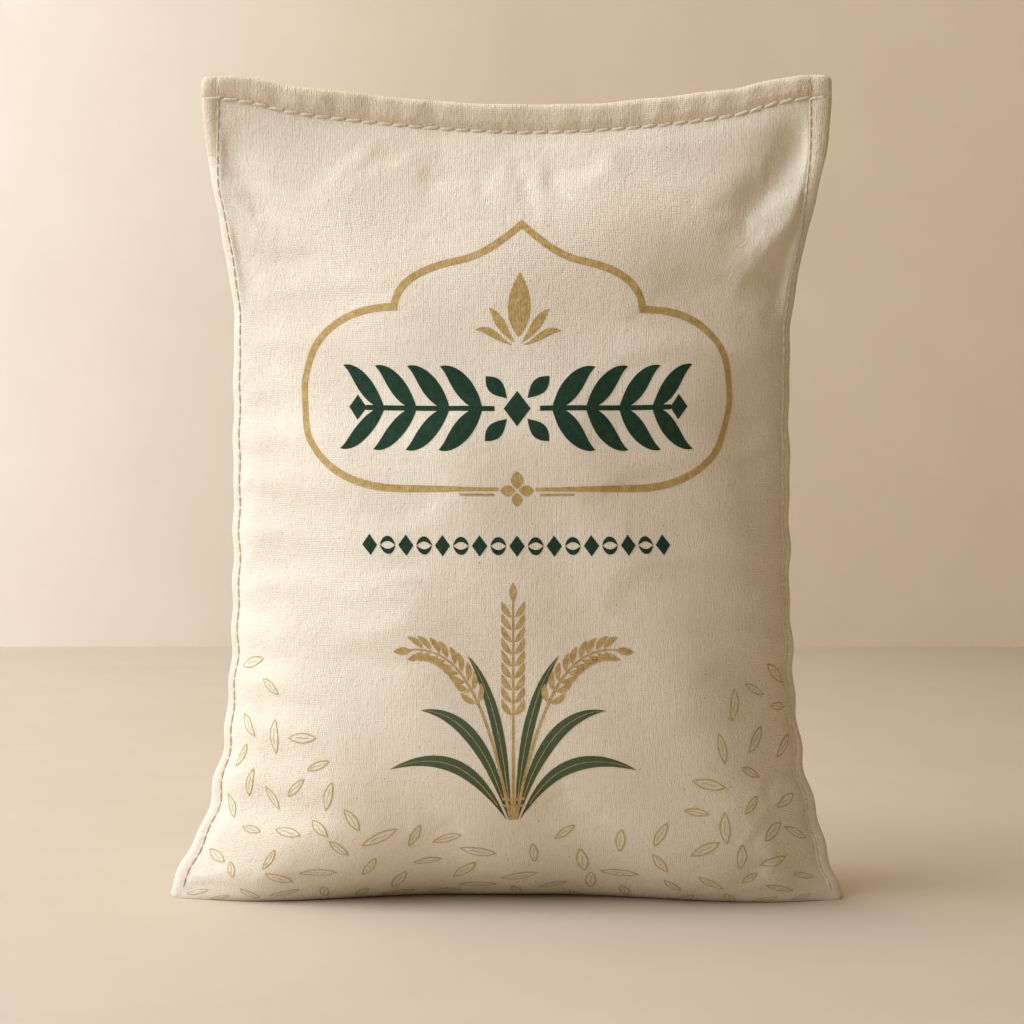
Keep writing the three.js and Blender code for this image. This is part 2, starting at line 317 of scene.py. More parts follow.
# %% Settings of the simulation
SIM_COLUMNS = 76
SIM_ROWS = 100
SIM_FRAMES = 18
SLACK = 0.035  # how much too large the cloth is cut
SIM_CLOTH = {
    "quality": 6,
    "mass": 0.2,
    "tension_stiffness": 30,
    "compression_stiffness": 30,
    "shear_stiffness": 15,
    "bending_stiffness": 0.4,
    "vertex_group_mass": "pin",
    "shrink_min": -SLACK,
    "use_pressure": True,
    "uniform_pressure_force": 3.0,
}
MOVE_CAP = 1.6  # mm
BROAD = 9  # cells over which swelling counts as broad
CALM_MIDDLE = 0.5  # share of the movement that the middle of a panel keeps
EDGE_REACH = 45  # mm from a seam or the hem over which the middle's calm sets in
STILL_AT_EDGE = (5, 32)  # mm from a seam or the hem over which the movement starts
STILL_AT_FLOOR = (6, 40)
FOLDS_HELD = 7  # mm from a seam or the hem over which a fold starts

sim_across = np.linspace(-PANEL_HALF, PANEL_HALF, SIM_COLUMNS + 1)
sim_up = np.linspace(0, PANEL_TALL, SIM_ROWS + 1)
print(f"cells of {sim_across[1] - sim_across[0]:.1f} by {sim_up[1]:.1f} mm")


# %% Grids and meshes of the panels
def panel_grid(face, across, up):
    """A panel with its folds. Where the bag is thin, the back gives way to the folds of the front."""
    share, height = share_at(across)[None, :], height_at(up)[:, None]
    room = FOLD_LIMIT * belly_depth(height) * depth_share(share, height)
    held = smooth(np.minimum(PANEL_HALF - np.abs(across)[None, :], PANEL_TALL - up[:, None]), 0, FOLDS_HELD)
    fold = held * fold_depth(FRONT_FOLDS, across[None, :], up[:, None])
    if face == BACK:
        fold = np.minimum(held * fold_depth(BACK_FOLDS, across[None, :], up[:, None]), room - fold)
    return body_point(face, share, height, fold)


def blurred(field, reach):
    """The mean over a square of cells, taken twice along each way, with the edge repeated."""
    weights = np.ones(2 * reach + 1) / (2 * reach + 1)
    for axis in (0, 1, 0, 1):
        pads = [(reach, reach) if i == axis else (0, 0) for i in range(3)]
        padded = np.pad(field, pads, mode="edge")
        field = np.apply_along_axis(np.convolve, axis, padded, weights, mode="valid")
    return field


def mesh_object(name, points, faces):
    mesh = bpy.data.meshes.new(name)
    mesh.from_pydata([tuple(p) for p in np.asarray(points) * MM], [], [tuple(map(int, f)) for f in faces])
    mesh.update()
    piece = bpy.data.objects.new(name, mesh)
    bpy.context.scene.collection.objects.link(piece)
    return piece


def vertex_numbers(grid):
    """Vertex numbers of a front and a back panel that both have the shape of a grid."""
    rows, columns = grid.shape[:2]
    front = np.arange(rows * columns).reshape(rows, columns)
    return front, front + rows * columns


def sewn_faces(front, back):
    """Quads of both panels from their grids of vertex numbers, with all faces pointing out."""
    quads = []
    for grid, order in ((front, (0, 1, 2, 3)), (back, (1, 0, 3, 2))):
        corners = (grid[:-1, :-1], grid[:-1, 1:], grid[1:, 1:], grid[1:, :-1])
        quads.append(np.stack([corners[i].ravel() for i in order], axis=1))
    return np.concatenate(quads)


# %% Simulate the slack cloth
def slack_bag():
    """The coarse sewn bag, its points and the vertex numbers of both panels."""
    grids = {face: panel_grid(face, sim_across, sim_up) for face in (FRONT, BACK)}
    seam = (grids[FRONT] + grids[BACK]) / 2
    front, back = vertex_numbers(seam)
    for edge in ((slice(None), 0), (slice(None), -1), (-1, slice(None))):
        back[edge] = front[edge]
        grids[FRONT][edge] = seam[edge]
    points = np.concatenate([grids[FRONT].reshape(-1, 3), grids[BACK].reshape(-1, 3)])
    floor = np.stack([back[0, :-1], back[0, 1:], front[0, 1:], front[0, :-1]], axis=1)
    piece = mesh_object("sim", points, np.concatenate([sewn_faces(front, back), floor]))
    pin = piece.vertex_groups.new(name="pin")
    held = [front[0], back[0], front[-1], front[:, 0], front[:, -1]]
    pin.add([int(i) for i in np.unique(np.concatenate(held))], 1.0, "ADD")
    return piece, points, {FRONT: front, BACK: back}


def blown_up(piece):
    """The points of the bag after the Cloth modifier has run. The bag itself is then removed."""
    cloth = piece.modifiers.new("Cloth", "CLOTH")
    for key, value in SIM_CLOTH.items():
        setattr(cloth.settings, key, value)
    cloth.settings.effector_weights.gravity = 0
    cloth.collision_settings.use_collision = False
    cloth.point_cache.frame_end = SIM_FRAMES
    for number in range(1, SIM_FRAMES + 1):
        bpy.context.scene.frame_set(number)
    shaped = piece.evaluated_get(bpy.context.evaluated_depsgraph_get())
    after = np.array([v.co for v in shaped.data.vertices]) / MM
    bpy.context.scene.frame_set(1)
    bpy.data.objects.remove(piece)
    return after


def simulate_slack():
    piece, points, numbers = slack_bag()
    after = blown_up(piece)
    edge = np.minimum(PANEL_HALF - np.abs(sim_across)[None, :], (PANEL_TALL - sim_up)[:, None])
    calm = mix(1.0, CALM_MIDDLE, smooth(edge, 0, EDGE_REACH))
    keep = calm * smooth(edge, *STILL_AT_EDGE) * smooth(sim_up, *STILL_AT_FLOOR)[:, None]
    moves = {}
    for face in (FRONT, BACK):
        move = after[numbers[face]] - points[numbers[face]]
        broad = blurred(move, BROAD)
        most, most_broad = (np.linalg.norm(m, axis=2).max() for m in (move, broad))
        print(f"cloth moved {most:.1f} mm, broadly {most_broad:.1f}")
        move = move - broad
        length = np.maximum(np.linalg.norm(move, axis=2, keepdims=True), 1e-6)
        moves[face] = move * (MOVE_CAP * np.tanh(length / MOVE_CAP) / length) * keep[..., None]
    return moves


slack_moves = simulate_slack()
for face in (FRONT, BACK):
    lengths = np.linalg.norm(slack_moves[face], axis=2)
    print(f"panel {face}: cloth moves {lengths.max():.2f} mm at most, {lengths.mean():.2f} mm on average")


# %% [markdown]
# ## Fine relief
# Some unevenness is finer than the simulated cells or has a known place: short gathers below the hem,
# ripples at right angles to the side seams, and long soft dents over the belly. Each is a height in
# millimetres that is added along the cloth's own direction outwards. Random ones use a seeded draw, so
# every run makes the same bag.

# %% Gathers, ripples and dents
# across and width of each gather below the hem, how far down it reaches, and its depth
HEM_GATHERS = (
    (-96, 12, 30, 0.6),
    (-37, 10, 34, 0.7),
    (-2, 9, 30, 0.6),
    (15, 10, 36, 0.7),
    (84, 11, 26, 0.5),
)
RIPPLE_LENGTH = 24
RIPPLE_REACH = 22
RIPPLE_DEPTH = 0.6
RIPPLE_DRIFT = 2.2  # radians by which the ripples wander
DENT_DEPTH = 0.75
DENT_WAVES = 9
DENT_LENGTHS = (55, 120)
DENT_EDGE = 35  # mm from an edge over which the dents start


def waves(seed, count, shortest, longest):
    """A seeded sum of slanted waves over the panel, about one high."""
    draw = np.random.default_rng(seed)
    parts = [
        (2 * np.pi / draw.uniform(shortest, longest), draw.uniform(0, np.pi), draw.uniform(0, 2 * np.pi))
        for _ in range(count)
    ]

    def field(across, up):
        total = 0
        for rate, angle, shift in parts:
            total = total + np.sin(rate * (across * np.cos(angle) + up * np.sin(angle)) + shift)
        return total * math.sqrt(2 / count)

    return field


dents = {FRONT: waves(11, DENT_WAVES, *DENT_LENGTHS), BACK: waves(12, DENT_WAVES, *DENT_LENGTHS)}
ripple_drift = waves(21, 6, 40, 90)


def relief(face, across, up):
    from_seam = PANEL_HALF - np.abs(across)
    from_hem = PANEL_TALL - up
    free = smooth(from_seam, 0, DENT_EDGE) * smooth(from_hem, 0, DENT_EDGE) * smooth(up, 0, 40)
    total = DENT_DEPTH * dents[face](across, up) * free
    phase = 2 * np.pi * up / RIPPLE_LENGTH + RIPPLE_DRIFT * ripple_drift(across * 0.3, up)
    near_seam = smooth(from_seam, 0, 8) * np.exp(-from_seam / RIPPLE_REACH)
    strength = 0.5 + 0.5 * ripple_drift(up * 0.7, across * 0.2 + 50)
    total = total + RIPPLE_DEPTH * near_seam * strength * np.sin(phase)
    for place, width, reach, depth in HEM_GATHERS:
        shape = np.exp(-(((across + face * place) / width) ** 2)) * np.exp(-((from_hem / reach) ** 2))
        total = total - depth * shape * smooth(from_hem, 0, 6)
    return total


# %% [markdown]
# ## The fine grid of the body
# The panels are now worked out at about two millimetres, with extra columns beside the seams and extra
# rows below the hem, where the cloth turns sharply. A Subdivision modifier could refine the coarse mesh
# instead, but a grid whose rows and columns are known can be asked for the place of any point of the flat
# panel, and the print and the stitches need exactly that.

# %% Body grid
BODY_COLUMNS = 158
BODY_ROWS = 214
NEAR_SEAM = (0.35, 0.8)
NEAR_HEM = (0.3, 0.8)

body_across = np.sort(np.concatenate([
    np.linspace(-PANEL_HALF, PANEL_HALF, BODY_COLUMNS + 1),
    [side * (PANEL_HALF - gap) for side in (LEFT, RIGHT) for gap in NEAR_SEAM],
]))
body_up = np.sort(np.concatenate([
    np.linspace(0, PANEL_TALL, BODY_ROWS + 1),
    [PANEL_TALL - gap for gap in NEAR_HEM],
]))


def cubic(values, places):
    """Smooth interpolation along the first axis of values at fractional places."""
    last = len(values) - 1
    cell = np.clip(np.floor(places).astype(int), 0, last - 1)
    t = (places - cell).reshape((-1,) + (1,) * (values.ndim - 1))
    before, here, there, after = (values[np.clip(cell + i, 0, last)] for i in (-1, 0, 1, 2))
    return 0.5 * (
        2 * here
        + (there - before) * t
        + (2 * before - 5 * here + 4 * there - after) * t**2
        + (3 * (here - there) + after - before) * t**3
    )


def outward(grid, face):
    """Unit directions out of the cloth at every point of a grid."""
    rise = np.gradient(grid, axis=0)
    right = np.gradient(grid, axis=1)
    normal = np.cross(right, rise) * -face
    return normal / np.maximum(np.linalg.norm(normal, axis=2, keepdims=True), 1e-9)


def body_grid(face):
    base = panel_grid(face, body_across, body_up)
    rows = np.interp(body_up, sim_up, np.arange(SIM_ROWS + 1))
    columns = np.interp(body_across, sim_across, np.arange(SIM_COLUMNS + 1))
    move = cubic(slack_moves[face], rows)
    move = cubic(move.transpose(1, 0, 2), columns).transpose(1, 0, 2)
    height = relief(face, body_across[None, :], body_up[:, None])
    grid = base + move + outward(base, face) * height[..., None]
    grid[..., 2] = np.maximum(grid[..., 2], 0)
    return grid


body = {face: body_grid(face) for face in (FRONT, BACK)}
body_out = {face: outward(body[face], face) for face in (FRONT, BACK)}
print("body grid:", body[FRONT].shape[:2], "points a panel")

# %% [markdown]
# ## The hem and the seam allowances
# The top is closed by folding both panels over and sewing through four layers: a band that is puffed
# above its stitches and rounded along its edge. Outside each side seam the spare cloth of both panels
# stays as a narrow flap, doubled near the top corners where the hem was folded over it. Both are extra
# rows and columns of the same grid, so the whole bag stays one closed piece of cloth.

# %% Hem rows and flap columns
HEM_ROWS = (0.03, 0.09, 0.18, 0.29, 0.41, 0.53, 0.64, 0.74, 0.83, 0.9, 0.95, 0.985, 1.0)
HEM_HALF = 2.45  # half the thickness of the puffed band
HEM_STITCH = 7.6  # from one stitch to the next
HEM_PUFF = 0.34  # share of the band's height over which it swells
HEM_RIM = 0.66  # and above which its edge is rounded
HEM_UNEVEN = 0.13
STITCH_DIMPLE = 0.12
SHARPEST = 0.03  # square of the least thickness of a rounded edge, as a share
FLAP_STEPS = (0.08, 0.2, 0.4, 0.6, 0.78, 0.9, 0.97, 1.0)
hem_dents = waves(31, 8, 12, 40)
edge_drift = waves(41, 7, 10, 34)


def hem_half(across, rise):
    puff = smooth(rise, 0, HEM_PUFF)
    edge = np.sqrt(np.clip(1 - np.clip((rise - HEM_RIM) / (1 - HEM_RIM), 0, 1) ** 2, SHARPEST, 1))
    near_stitch = 1 - smooth(rise, 0.1, 0.55)
    stitch = 1 - STITCH_DIMPLE * np.cos(2 * np.pi * across / HEM_STITCH) * near_stitch
    dent = 1 + HEM_UNEVEN * hem_dents(across, rise * 3)
    return mix(CLOTH_PRESSED / 2, HEM_HALF * dent * stitch, puff) * edge


def hem_points(face, across, rise):
    share = share_at(across)
    height = mix(HEM_LINE, BAG_HEIGHT, rise)
    x = middle_x(height) + share * seam_half_width(np.where(share < 0, LEFT, RIGHT), height)
    y = middle_y(share, height) + face * hem_half(across, rise)
    z = top_edge(share) - hem_height(share) * (1 - rise) + 0.2 * hem_dents(across * 0.5, 90) * rise
    return np.stack(np.broadcast_arrays(x, y, z), axis=-1)


# %% Flaps
TOP_ROUND = 3.2  # radius of the top corners in the plane of the flap
FOOT_ROUND = 2.6  # and of the bottom corners
TAB_THICKER = 0.35
FLAP_UNEVEN = 0.1
FLAP_WAVY = 0.035  # share of its width by which a flap's edge wanders
HEM_ROOT = 0.72  # thickness where the hem meets the flap, as a share of the hem's


def flap_half(side, step, height):
    """Half the thickness of a flap at a step of its width."""
    tab = smooth(height, HEM_LINE - CORNER_TAB - 1.5, HEM_LINE - CORNER_TAB + 1)
    rise = np.clip((height - HEM_LINE) / HEM_AT_CORNERS, 0, 1)
    at_hem = hem_half(side * PANEL_HALF, rise)
    root = np.where(height > HEM_LINE, at_hem * HEM_ROOT, CLOTH_PRESSED / 2)
    full = np.where(height > HEM_LINE, at_hem, FLAP_THICKNESS / 2 * (1 + TAB_THICKER * tab))
    ripple = 1 + FLAP_UNEVEN * edge_drift(height * 0.7, side * 90)
    edge = math.sqrt(max(SHARPEST, 1 - max(0, (step - 0.5) / 0.5) ** 2))
    return mix(root, full * ripple, smooth(step, 0.05, 0.4)) * edge


def flap_points(face, side, step, height, root):
    """One column of a flap: from the seam's points, out by a step of the flap's width."""
    turn = flap_turn(side, height)
    wavy = 1 + FLAP_WAVY * edge_drift(height, side * 40)
    over = np.clip((height - (BAG_HEIGHT - TOP_ROUND)) / TOP_ROUND, 0, 1)
    under = np.clip((FOOT_ROUND - height) / FOOT_ROUND, 0, 1)
    corner = TOP_ROUND * (1 - np.sqrt(1 - over**2)) + FOOT_ROUND * (1 - np.sqrt(1 - under**2))
    cut = corner / FLAP_ON_MAP
    out = flap_width(side, height) * (step * wavy - cut * step**3)
    half = flap_half(side, step, height)
    points = root.copy()
    points[:, 0] += side * (np.cos(turn) * out - face * np.sin(turn) * half)
    points[:, 1] += np.sin(turn) * out + face * np.cos(turn) * half
    return points


# %% Whole grid of a side
rise_list = np.array(HEM_ROWS)
row_height = np.concatenate([height_at(body_up), mix(HEM_LINE, BAG_HEIGHT, rise_list)])
row_up = np.concatenate([body_up, PANEL_TALL + rise_list * HEM_AT_CORNERS])
flap_out = np.array(FLAP_STEPS) * FLAP_ON_MAP
column_across = np.concatenate([-PANEL_HALF - flap_out[::-1], body_across, PANEL_HALF + flap_out])


def whole_grid(face):
    hem = np.stack([hem_points(face, body_across, rise) for rise in HEM_ROWS])
    grid = np.concatenate([body[face], hem])
    columns = [grid]
    for side, edge in ((LEFT, 0), (RIGHT, -1)):
        root = grid[:, edge].copy()
        root[:, 1] = middle_y(side, row_height)
        flaps = [flap_points(face, side, step, row_height, root)[:, None] for step in FLAP_STEPS]
        columns = flaps[::-1] + columns if side == LEFT else columns + flaps
    grid = np.concatenate(columns, axis=1)
    grid[..., 2] = np.maximum(grid[..., 2], 0)
    return grid


cloth = {face: whole_grid(face) for face in (FRONT, BACK)}
print("cloth grid:", cloth[FRONT].shape[:2], "points a side")

# %% [markdown]
# ## Sewing the cloth into one mesh
# Both grids become one closed mesh, joined along the flap edges, the top edge and the floor. The flat
# coordinates go with it as a map, the front panel beside the back panel, so that the weave has one scale
# everywhere and the finish can later be baked without overlaps.

# %% The map of the cloth
SHEET = 720  # mm of cloth across the whole map
MAP_MARGIN = 8
MAP_FLOOR = 48  # room below the panels for the strip that rests on the floor
map_half = MAP_MARGIN + PANEL_HALF + FLAP_ON_MAP
map_middle = {FRONT: map_half, BACK: 3 * map_half}

# how far the strips at the floor, the top and both sides reach out from the front panel on the map
EDGE_STRIP = 1.5
FLOOR_STRIP = MAP_FLOOR - 4
STRIP_SHIFTS = ((0, -FLOOR_STRIP), (0, EDGE_STRIP), (-EDGE_STRIP, 0), (EDGE_STRIP, 0))


def map_place(face, across, up):
    """Where a point of a panel lies on the map. The back panel is turned, as it is seen from behind."""
    across, up = np.broadcast_arrays(across, up)
    return np.stack([(map_middle[face] - face * across) / SHEET, (up + MAP_FLOOR) / SHEET], axis=-1)


def corner_vertices(mesh):
    """The vertex number of every face corner."""
    vertices = np.zeros(len(mesh.loops), np.int64)
    mesh.loops.foreach_get("vertex_index", vertices)
    return vertices


def add_map(mesh, places):
    layer = mesh.uv_layers.new(name="OFBake")
    layer.data.foreach_set("uv", places.astype(np.float32).ravel())


# %% Build the cloth piece
def joining_strips(front, back):
    """Quads between the panels, along the floor, the top edge and both sides."""
    joins = (
        (back[0, :-1], back[0, 1:], front[0, 1:], front[0, :-1]),
        (front[-1, :-1], front[-1, 1:], back[-1, 1:], back[-1, :-1]),
        (back[:-1, 0], front[:-1, 0], front[1:, 0], back[1:, 0]),
        (front[:-1, -1], back[:-1, -1], back[1:, -1], front[1:, -1]),
    )
    return [np.stack(join, axis=1) for join in joins]


def cloth_places(mesh, count, strips):
    """Map places of all face corners. In a strip, the back's edge lies a shift away from the front's."""
    panels = [map_place(face, column_across[None, :], row_up[:, None]) for face in (FRONT, BACK)]
    vertex_places = np.concatenate([panel.reshape(-1, 2) for panel in panels])
    vertices = corner_vertices(mesh)
    places = vertex_places[vertices]
    start = len(vertices) - 4 * sum(len(strip) for strip in strips)
    for strip, shift in zip(strips, STRIP_SHIFTS):
        part = slice(start, start + 4 * len(strip))
        from_back = vertices[part] >= count
        places[part] = vertex_places[vertices[part] % count] + from_back[:, None] * (np.array(shift) / SHEET)
        start += 4 * len(strip)
    return places


def doubled_vertices():
    """Whether the cloth is folded double at each vertex, as in the hem and the corner tabs."""
    on_flap = np.abs(column_across) > PANEL_HALF + 0.1
    in_tab = (row_height[:, None] > HEM_LINE - CORNER_TAB) & on_flap
    panel = (row_height[:, None] > HEM_LINE) | in_tab
    return np.concatenate([panel.ravel(), panel.ravel()])


def build_cloth():
    front, back = vertex_numbers(cloth[FRONT])
    strips = joining_strips(front, back)
    quads = np.concatenate([sewn_faces(front, back), *strips])
    points = np.concatenate([cloth[face].reshape(-1, 3) for face in (FRONT, BACK)])
    piece = mesh_object("cotton_bag", points, quads)
    add_map(piece.data, cloth_places(piece.data, front.size, strips))
    # doubled faces take the second finish, a darker copy of the canvas that paints shade
    piece.data.polygons.foreach_set("material_index", doubled_vertices()[quads].sum(axis=1) > 2)
    piece.data.shade_smooth()
    return piece


bag = build_cloth()
print("cloth:", len(bag.data.polygons), "faces")

# %% [markdown]
# ## Stitches
# A hem thread is a row of separate stitches, each a short length of twisted cord that rises out of the
# cloth and dives back into it. A single wavy tube would look like piping, so each stitch is its own small
# tube: two plies that turn round each other, thick in the middle, with both ends under the cloth.

# %% Stitch builder
PLY_SHARE = 0.12  # how deep the groove between the two plies is
STITCH_SINK = 0.35  # how deep its ends lie in the cloth, as a share of its thickness
ARCH_POWER = 0.7  # less makes a stitch rise more steeply
BLUNT_POWER = 0.28  # and less makes its ends blunter


def looked_up(distance, arc, values):
    """The values of a line at distances along it."""
    return np.stack([np.interp(distance, arc, values[:, i]) for i in range(3)], axis=-1)


def stitch_row(face, path, outs, pitch, thick, fill, rings, sides, slant, turns, rise):
    """Points and faces of a row of stitches along a path on the cloth."""
    arc = np.concatenate([[0], np.cumsum(np.linalg.norm(np.diff(path, axis=0), axis=1))])
    length = arc[-1]
    even_arc = np.linspace(0, length, len(outs))
    count = int(length // pitch)
    start = (length - count * pitch) / 2
    t = np.linspace(0, 1, rings)
    angles = np.linspace(0, 2 * np.pi, sides, endpoint=False)
    points, faces = [], []
    for number in range(count):
        place = start + pitch * (number + 0.5 + fill * (t - 0.5))
        along = looked_up(place + 0.5, arc, path) - looked_up(place - 0.5, arc, path)
        along /= np.linalg.norm(along, axis=1, keepdims=True)
        out = looked_up(place, even_arc, outs)
        out = out - along * np.sum(out * along, axis=1, keepdims=True)
        out /= np.linalg.norm(out, axis=1, keepdims=True)
        beside = np.cross(along, out)
        lift = thick * (rise * np.sin(np.pi * t) ** ARCH_POWER - STITCH_SINK)
        shift = face * slant * (t - 0.5)
        centre = looked_up(place, arc, path) + out * lift[:, None] + beside * shift[:, None]
        radius = thick / 2 * np.sin(np.pi * np.clip(t, 0.004, 0.996)) ** BLUNT_POWER
        ply = 1 + PLY_SHARE * np.cos(2 * (angles[None, :] - 2 * np.pi * turns * t[:, None]))
        spoke = radius[:, None] * ply
        ring = (
            centre[:, None]
            + out[:, None] * (np.cos(angles)[None, :] * spoke)[..., None]
            + beside[:, None] * (np.sin(angles)[None, :] * spoke)[..., None]
        )
        first = len(points) * rings * sides
        points.append(ring.reshape(-1, 3))
        grid = first + np.arange(rings * sides).reshape(rings, sides)
        turned = np.roll(grid, -1, axis=1)
        quads = np.stack([grid[:-1], grid[1:], turned[1:], turned[:-1]], axis=-1).reshape(-1, 4)
        faces += quads.tolist()
        faces.append(grid[0].tolist())
        faces.append(grid[-1][::-1].tolist())
    return np.concatenate(points), faces


# %% Paths of the seams on the cloth
SIDE_THREAD = 1.0
SIDE_OUT = 0.7  # how far outside the seam the side thread lies
SIDE_ENDS = (3, BAG_HEIGHT - 2)
HEM_ENDS = (7.6, 9.6)  # how far the hem thread runs on past the left and the right seam
HEM_LIFT = (0.55, 0.75)  # of its path off the cloth, over the body and over the flaps


def hem_path(face):
    across = np.linspace(-PANEL_HALF - HEM_ENDS[0], PANEL_HALF + HEM_ENDS[1], 400)
    inside = np.clip(across, -PANEL_HALF, PANEL_HALF)
    points = hem_points(face, inside, 0.0)
    points[:, 0] += across - inside
    points[:, 1] += face * np.where(across == inside, *HEM_LIFT)
    outs = np.tile([0.0, float(face), 0.0], (len(points), 1))
    return points, outs


def side_path(face, side):
    height = np.linspace(*SIDE_ENDS, 500)
    inside = np.minimum(height, HEM_LINE)
    root = body_point(face, float(side), inside)
    above = height > HEM_LINE
    root[above, 2] = top_edge(side) - BAG_HEIGHT + height[above]
    root[above, 0] = middle_x(height[above]) + side * seam_half_width(side, height[above])
    turn = flap_turn(side, height)
    lift = flap_half(side, SIDE_OUT / FLAP_BELOW, height) + SIDE_THREAD * 0.3
    root[:, 0] += side * (np.cos(turn) * SIDE_OUT - face * np.sin(turn) * lift)
    root[:, 1] = middle_y(side, height) + np.sin(turn) * SIDE_OUT + face * np.cos(turn) * lift
    outs = np.stack([-side * face * np.sin(turn), face * np.cos(turn), np.zeros_like(turn)], axis=-1)
    return root, outs


# %% Sew the hem and the side seams
# fill is the length of a stitch as a share of its pitch, slant how far it runs across the row
HEM_SEWING = {
    "pitch": HEM_STITCH,
    "thick": 1.8,
    "fill": 1.08,
    "rings": 11,
    "sides": 10,
    "slant": 0.9,
    "turns": 1.1,
    "rise": 0.24,
}
SIDE_SEWING = {
    "pitch": 5.6,
    "thick": SIDE_THREAD,
    "fill": 0.99,
    "rings": 9,
    "sides": 6,
    "slant": 0.0,
    "turns": 0.8,
    "rise": 0.25,
}


def sew(name, row, node):
    piece = mesh_object(name, *row)
    piece.data.shade_smooth()
    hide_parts(node)
    return piece


stitches = []
for face, face_name in ((FRONT, "front"), (BACK, "back")):
    row = stitch_row(face, *hem_path(face), **HEM_SEWING)
    stitches.append(sew(f"hem_stitches_{face_name}", row, f"hem_thread_{face_name}"))
    for side, side_name in ((LEFT, "left"), (RIGHT, "right")):
        row = stitch_row(face, *side_path(face, side), **SIDE_SEWING)
        name = f"side_stitches_{side_name}_{face_name}"
        stitches.append(sew(name, row, f"side_thread_{side_name}_{face_name}"))
print("stitch pieces:", len(stitches), "with", sum(len(s.data.polygons) for s in stitches), "faces")

# %% [markdown]
# ## Laying a print on the cloth
# Screen-printed ink is a film a tenth of a millimetre thick. It could be painted by the cloth's own
# finish, but crisp edges of many small shapes are easier as thin pieces. Every shape is a ribbon: a line
# on the flat panel with a width that changes along it. A leaf is a ribbon that is wide in the middle, a
# petal one that is wide near its end, and an outline one of even width. The ribbon is cut into short
# cells, and each corner is then put on the cloth.

# %% Ribbons on the panel
INK_LIFT = 0.14
CELL = 1.9  # longest side of a cell of ink
SHARED = 4e-6  # m within which the corners of two cells become one
LEAST_TURN = 0.4  # keeps the point of a sharp bend from growing too long


def cloth_lookup(face, across, up, values):
    rows = np.interp(up, body_up, np.arange(len(body_up)))
    columns = np.interp(across, body_across, np.arange(len(body_across)))
    row = np.minimum(rows.astype(int), len(body_up) - 2)
    column = np.minimum(columns.astype(int), len(body_across) - 2)
    share_up, share_across = (rows - row)[..., None], (columns - column)[..., None]
    grid = values[face]
    low = mix(grid[row, column], grid[row, column + 1], share_across)
    high = mix(grid[row + 1, column], grid[row + 1, column + 1], share_across)
    return mix(low, high, share_up)


def left_of(line, closed):
    """Directions to the left of a flat line, longer at a bend, so that a ribbon keeps its width there."""
    ahead = np.roll(line, -1, axis=0) - line
    if not closed:
        ahead[-1] = ahead[-2]
    ahead /= np.linalg.norm(ahead, axis=1, keepdims=True)
    behind = np.roll(ahead, 1, axis=0)
    if not closed:
        behind[0] = ahead[0]
    run = ahead + behind
    run /= np.linalg.norm(run, axis=1, keepdims=True)
    longer = 1 / np.maximum(np.sum(run * ahead, axis=1), LEAST_TURN)
    return np.stack([-run[:, 1], run[:, 0]], axis=1) * longer[:, None]


class Print:
    """Gathers the ribbons of one piece of ink and lays them on one face of the bag."""

    def __init__(self, name, face, lift=INK_LIFT):
        self.name, self.face, self.lift = name, face, lift
        self.flat, self.faces, self.count = [], [], 0

    def ribbon(self, spine, width, closed=False):
        spine = np.asarray(spine, float)
        width = np.broadcast_to(np.asarray(width, float), (len(spine),))
        cells = max(1, math.ceil(width.max() / CELL))
        offsets = np.linspace(-0.5, 0.5, cells + 1)
        left = left_of(spine, closed)
        flat = spine[:, None] + left[:, None] * (width[:, None] * offsets[None, :])[..., None]
        grid = self.count + np.arange(len(spine) * (cells + 1)).reshape(len(spine), cells + 1)
        if closed:
            grid = np.concatenate([grid, grid[:1]])
        quads = np.stack([grid[:-1, 1:], grid[:-1, :-1], grid[1:, :-1], grid[1:, 1:]], axis=-1)
        self.flat.append(flat.reshape(-1, 2))
        self.faces.append(quads.reshape(-1, 4))
        self.count += flat.shape[0] * flat.shape[1]

    def lay(self, slot):
        flat = np.concatenate(self.flat)
        faces = np.concatenate(self.faces)
        if self.face == FRONT:
            faces = faces[:, ::-1]
        places = cloth_lookup(self.face, flat[:, 0], flat[:, 1], body)
        outs = cloth_lookup(self.face, flat[:, 0], flat[:, 1], body_out)
        outs /= np.linalg.norm(outs, axis=1, keepdims=True)
        points = places + outs * self.lift
        points[:, 2] = np.maximum(points[:, 2], 0)
        piece = mesh_object(self.name, points, faces)
        add_map(piece.data, map_place(self.face, flat[:, 0], flat[:, 1])[corner_vertices(piece.data)])
        edit = bmesh.new()
        edit.from_mesh(piece.data)
        bmesh.ops.remove_doubles(edit, verts=edit.verts, dist=SHARED)
        edit.to_mesh(piece.data)
        edit.free()
        piece.data.shade_smooth()
        return piece


# %% [markdown]
# ## Curves for the ornaments
# The ornaments are traditional ones: a pointed arch frame, a palmette, a four-petalled rosette. Each is
# drawn from a few points, with Bezier curves between them, and mirrored about its middle, as such
# ornament always is. A leaf follows a bent spine, and its width is a smooth hump.

# %% Curve and leaf helpers
def bezier(points, step=CELL):
    """A cubic or quadratic Bezier curve as evenly cut points."""
    points = np.asarray(points, float)
    length = np.linalg.norm(np.diff(points, axis=0), axis=1).sum()
    t = np.linspace(0, 1, max(4, math.ceil(length / step)) + 1)[:, None]
    points = np.repeat(points[:, None], len(t), axis=1)
    while len(points) > 1:
        points = points[:-1] * (1 - t) + points[1:] * t
    return points[0]


def hump(count, widest, peak=0.5, blunt=1.0):
    """Widths along a leaf: none at both ends, and widest at the peak."""
    t = np.linspace(0, 1, count)
    warped = t ** (math.log(0.5) / math.log(peak))
    return widest * np.sin(np.pi * warped) ** blunt


def leaf(ink, points, widest, peak=0.5, blunt=1.0, step=CELL):
    spine = bezier(points, step)
    ink.ribbon(spine, hump(len(spine), widest, peak, blunt))


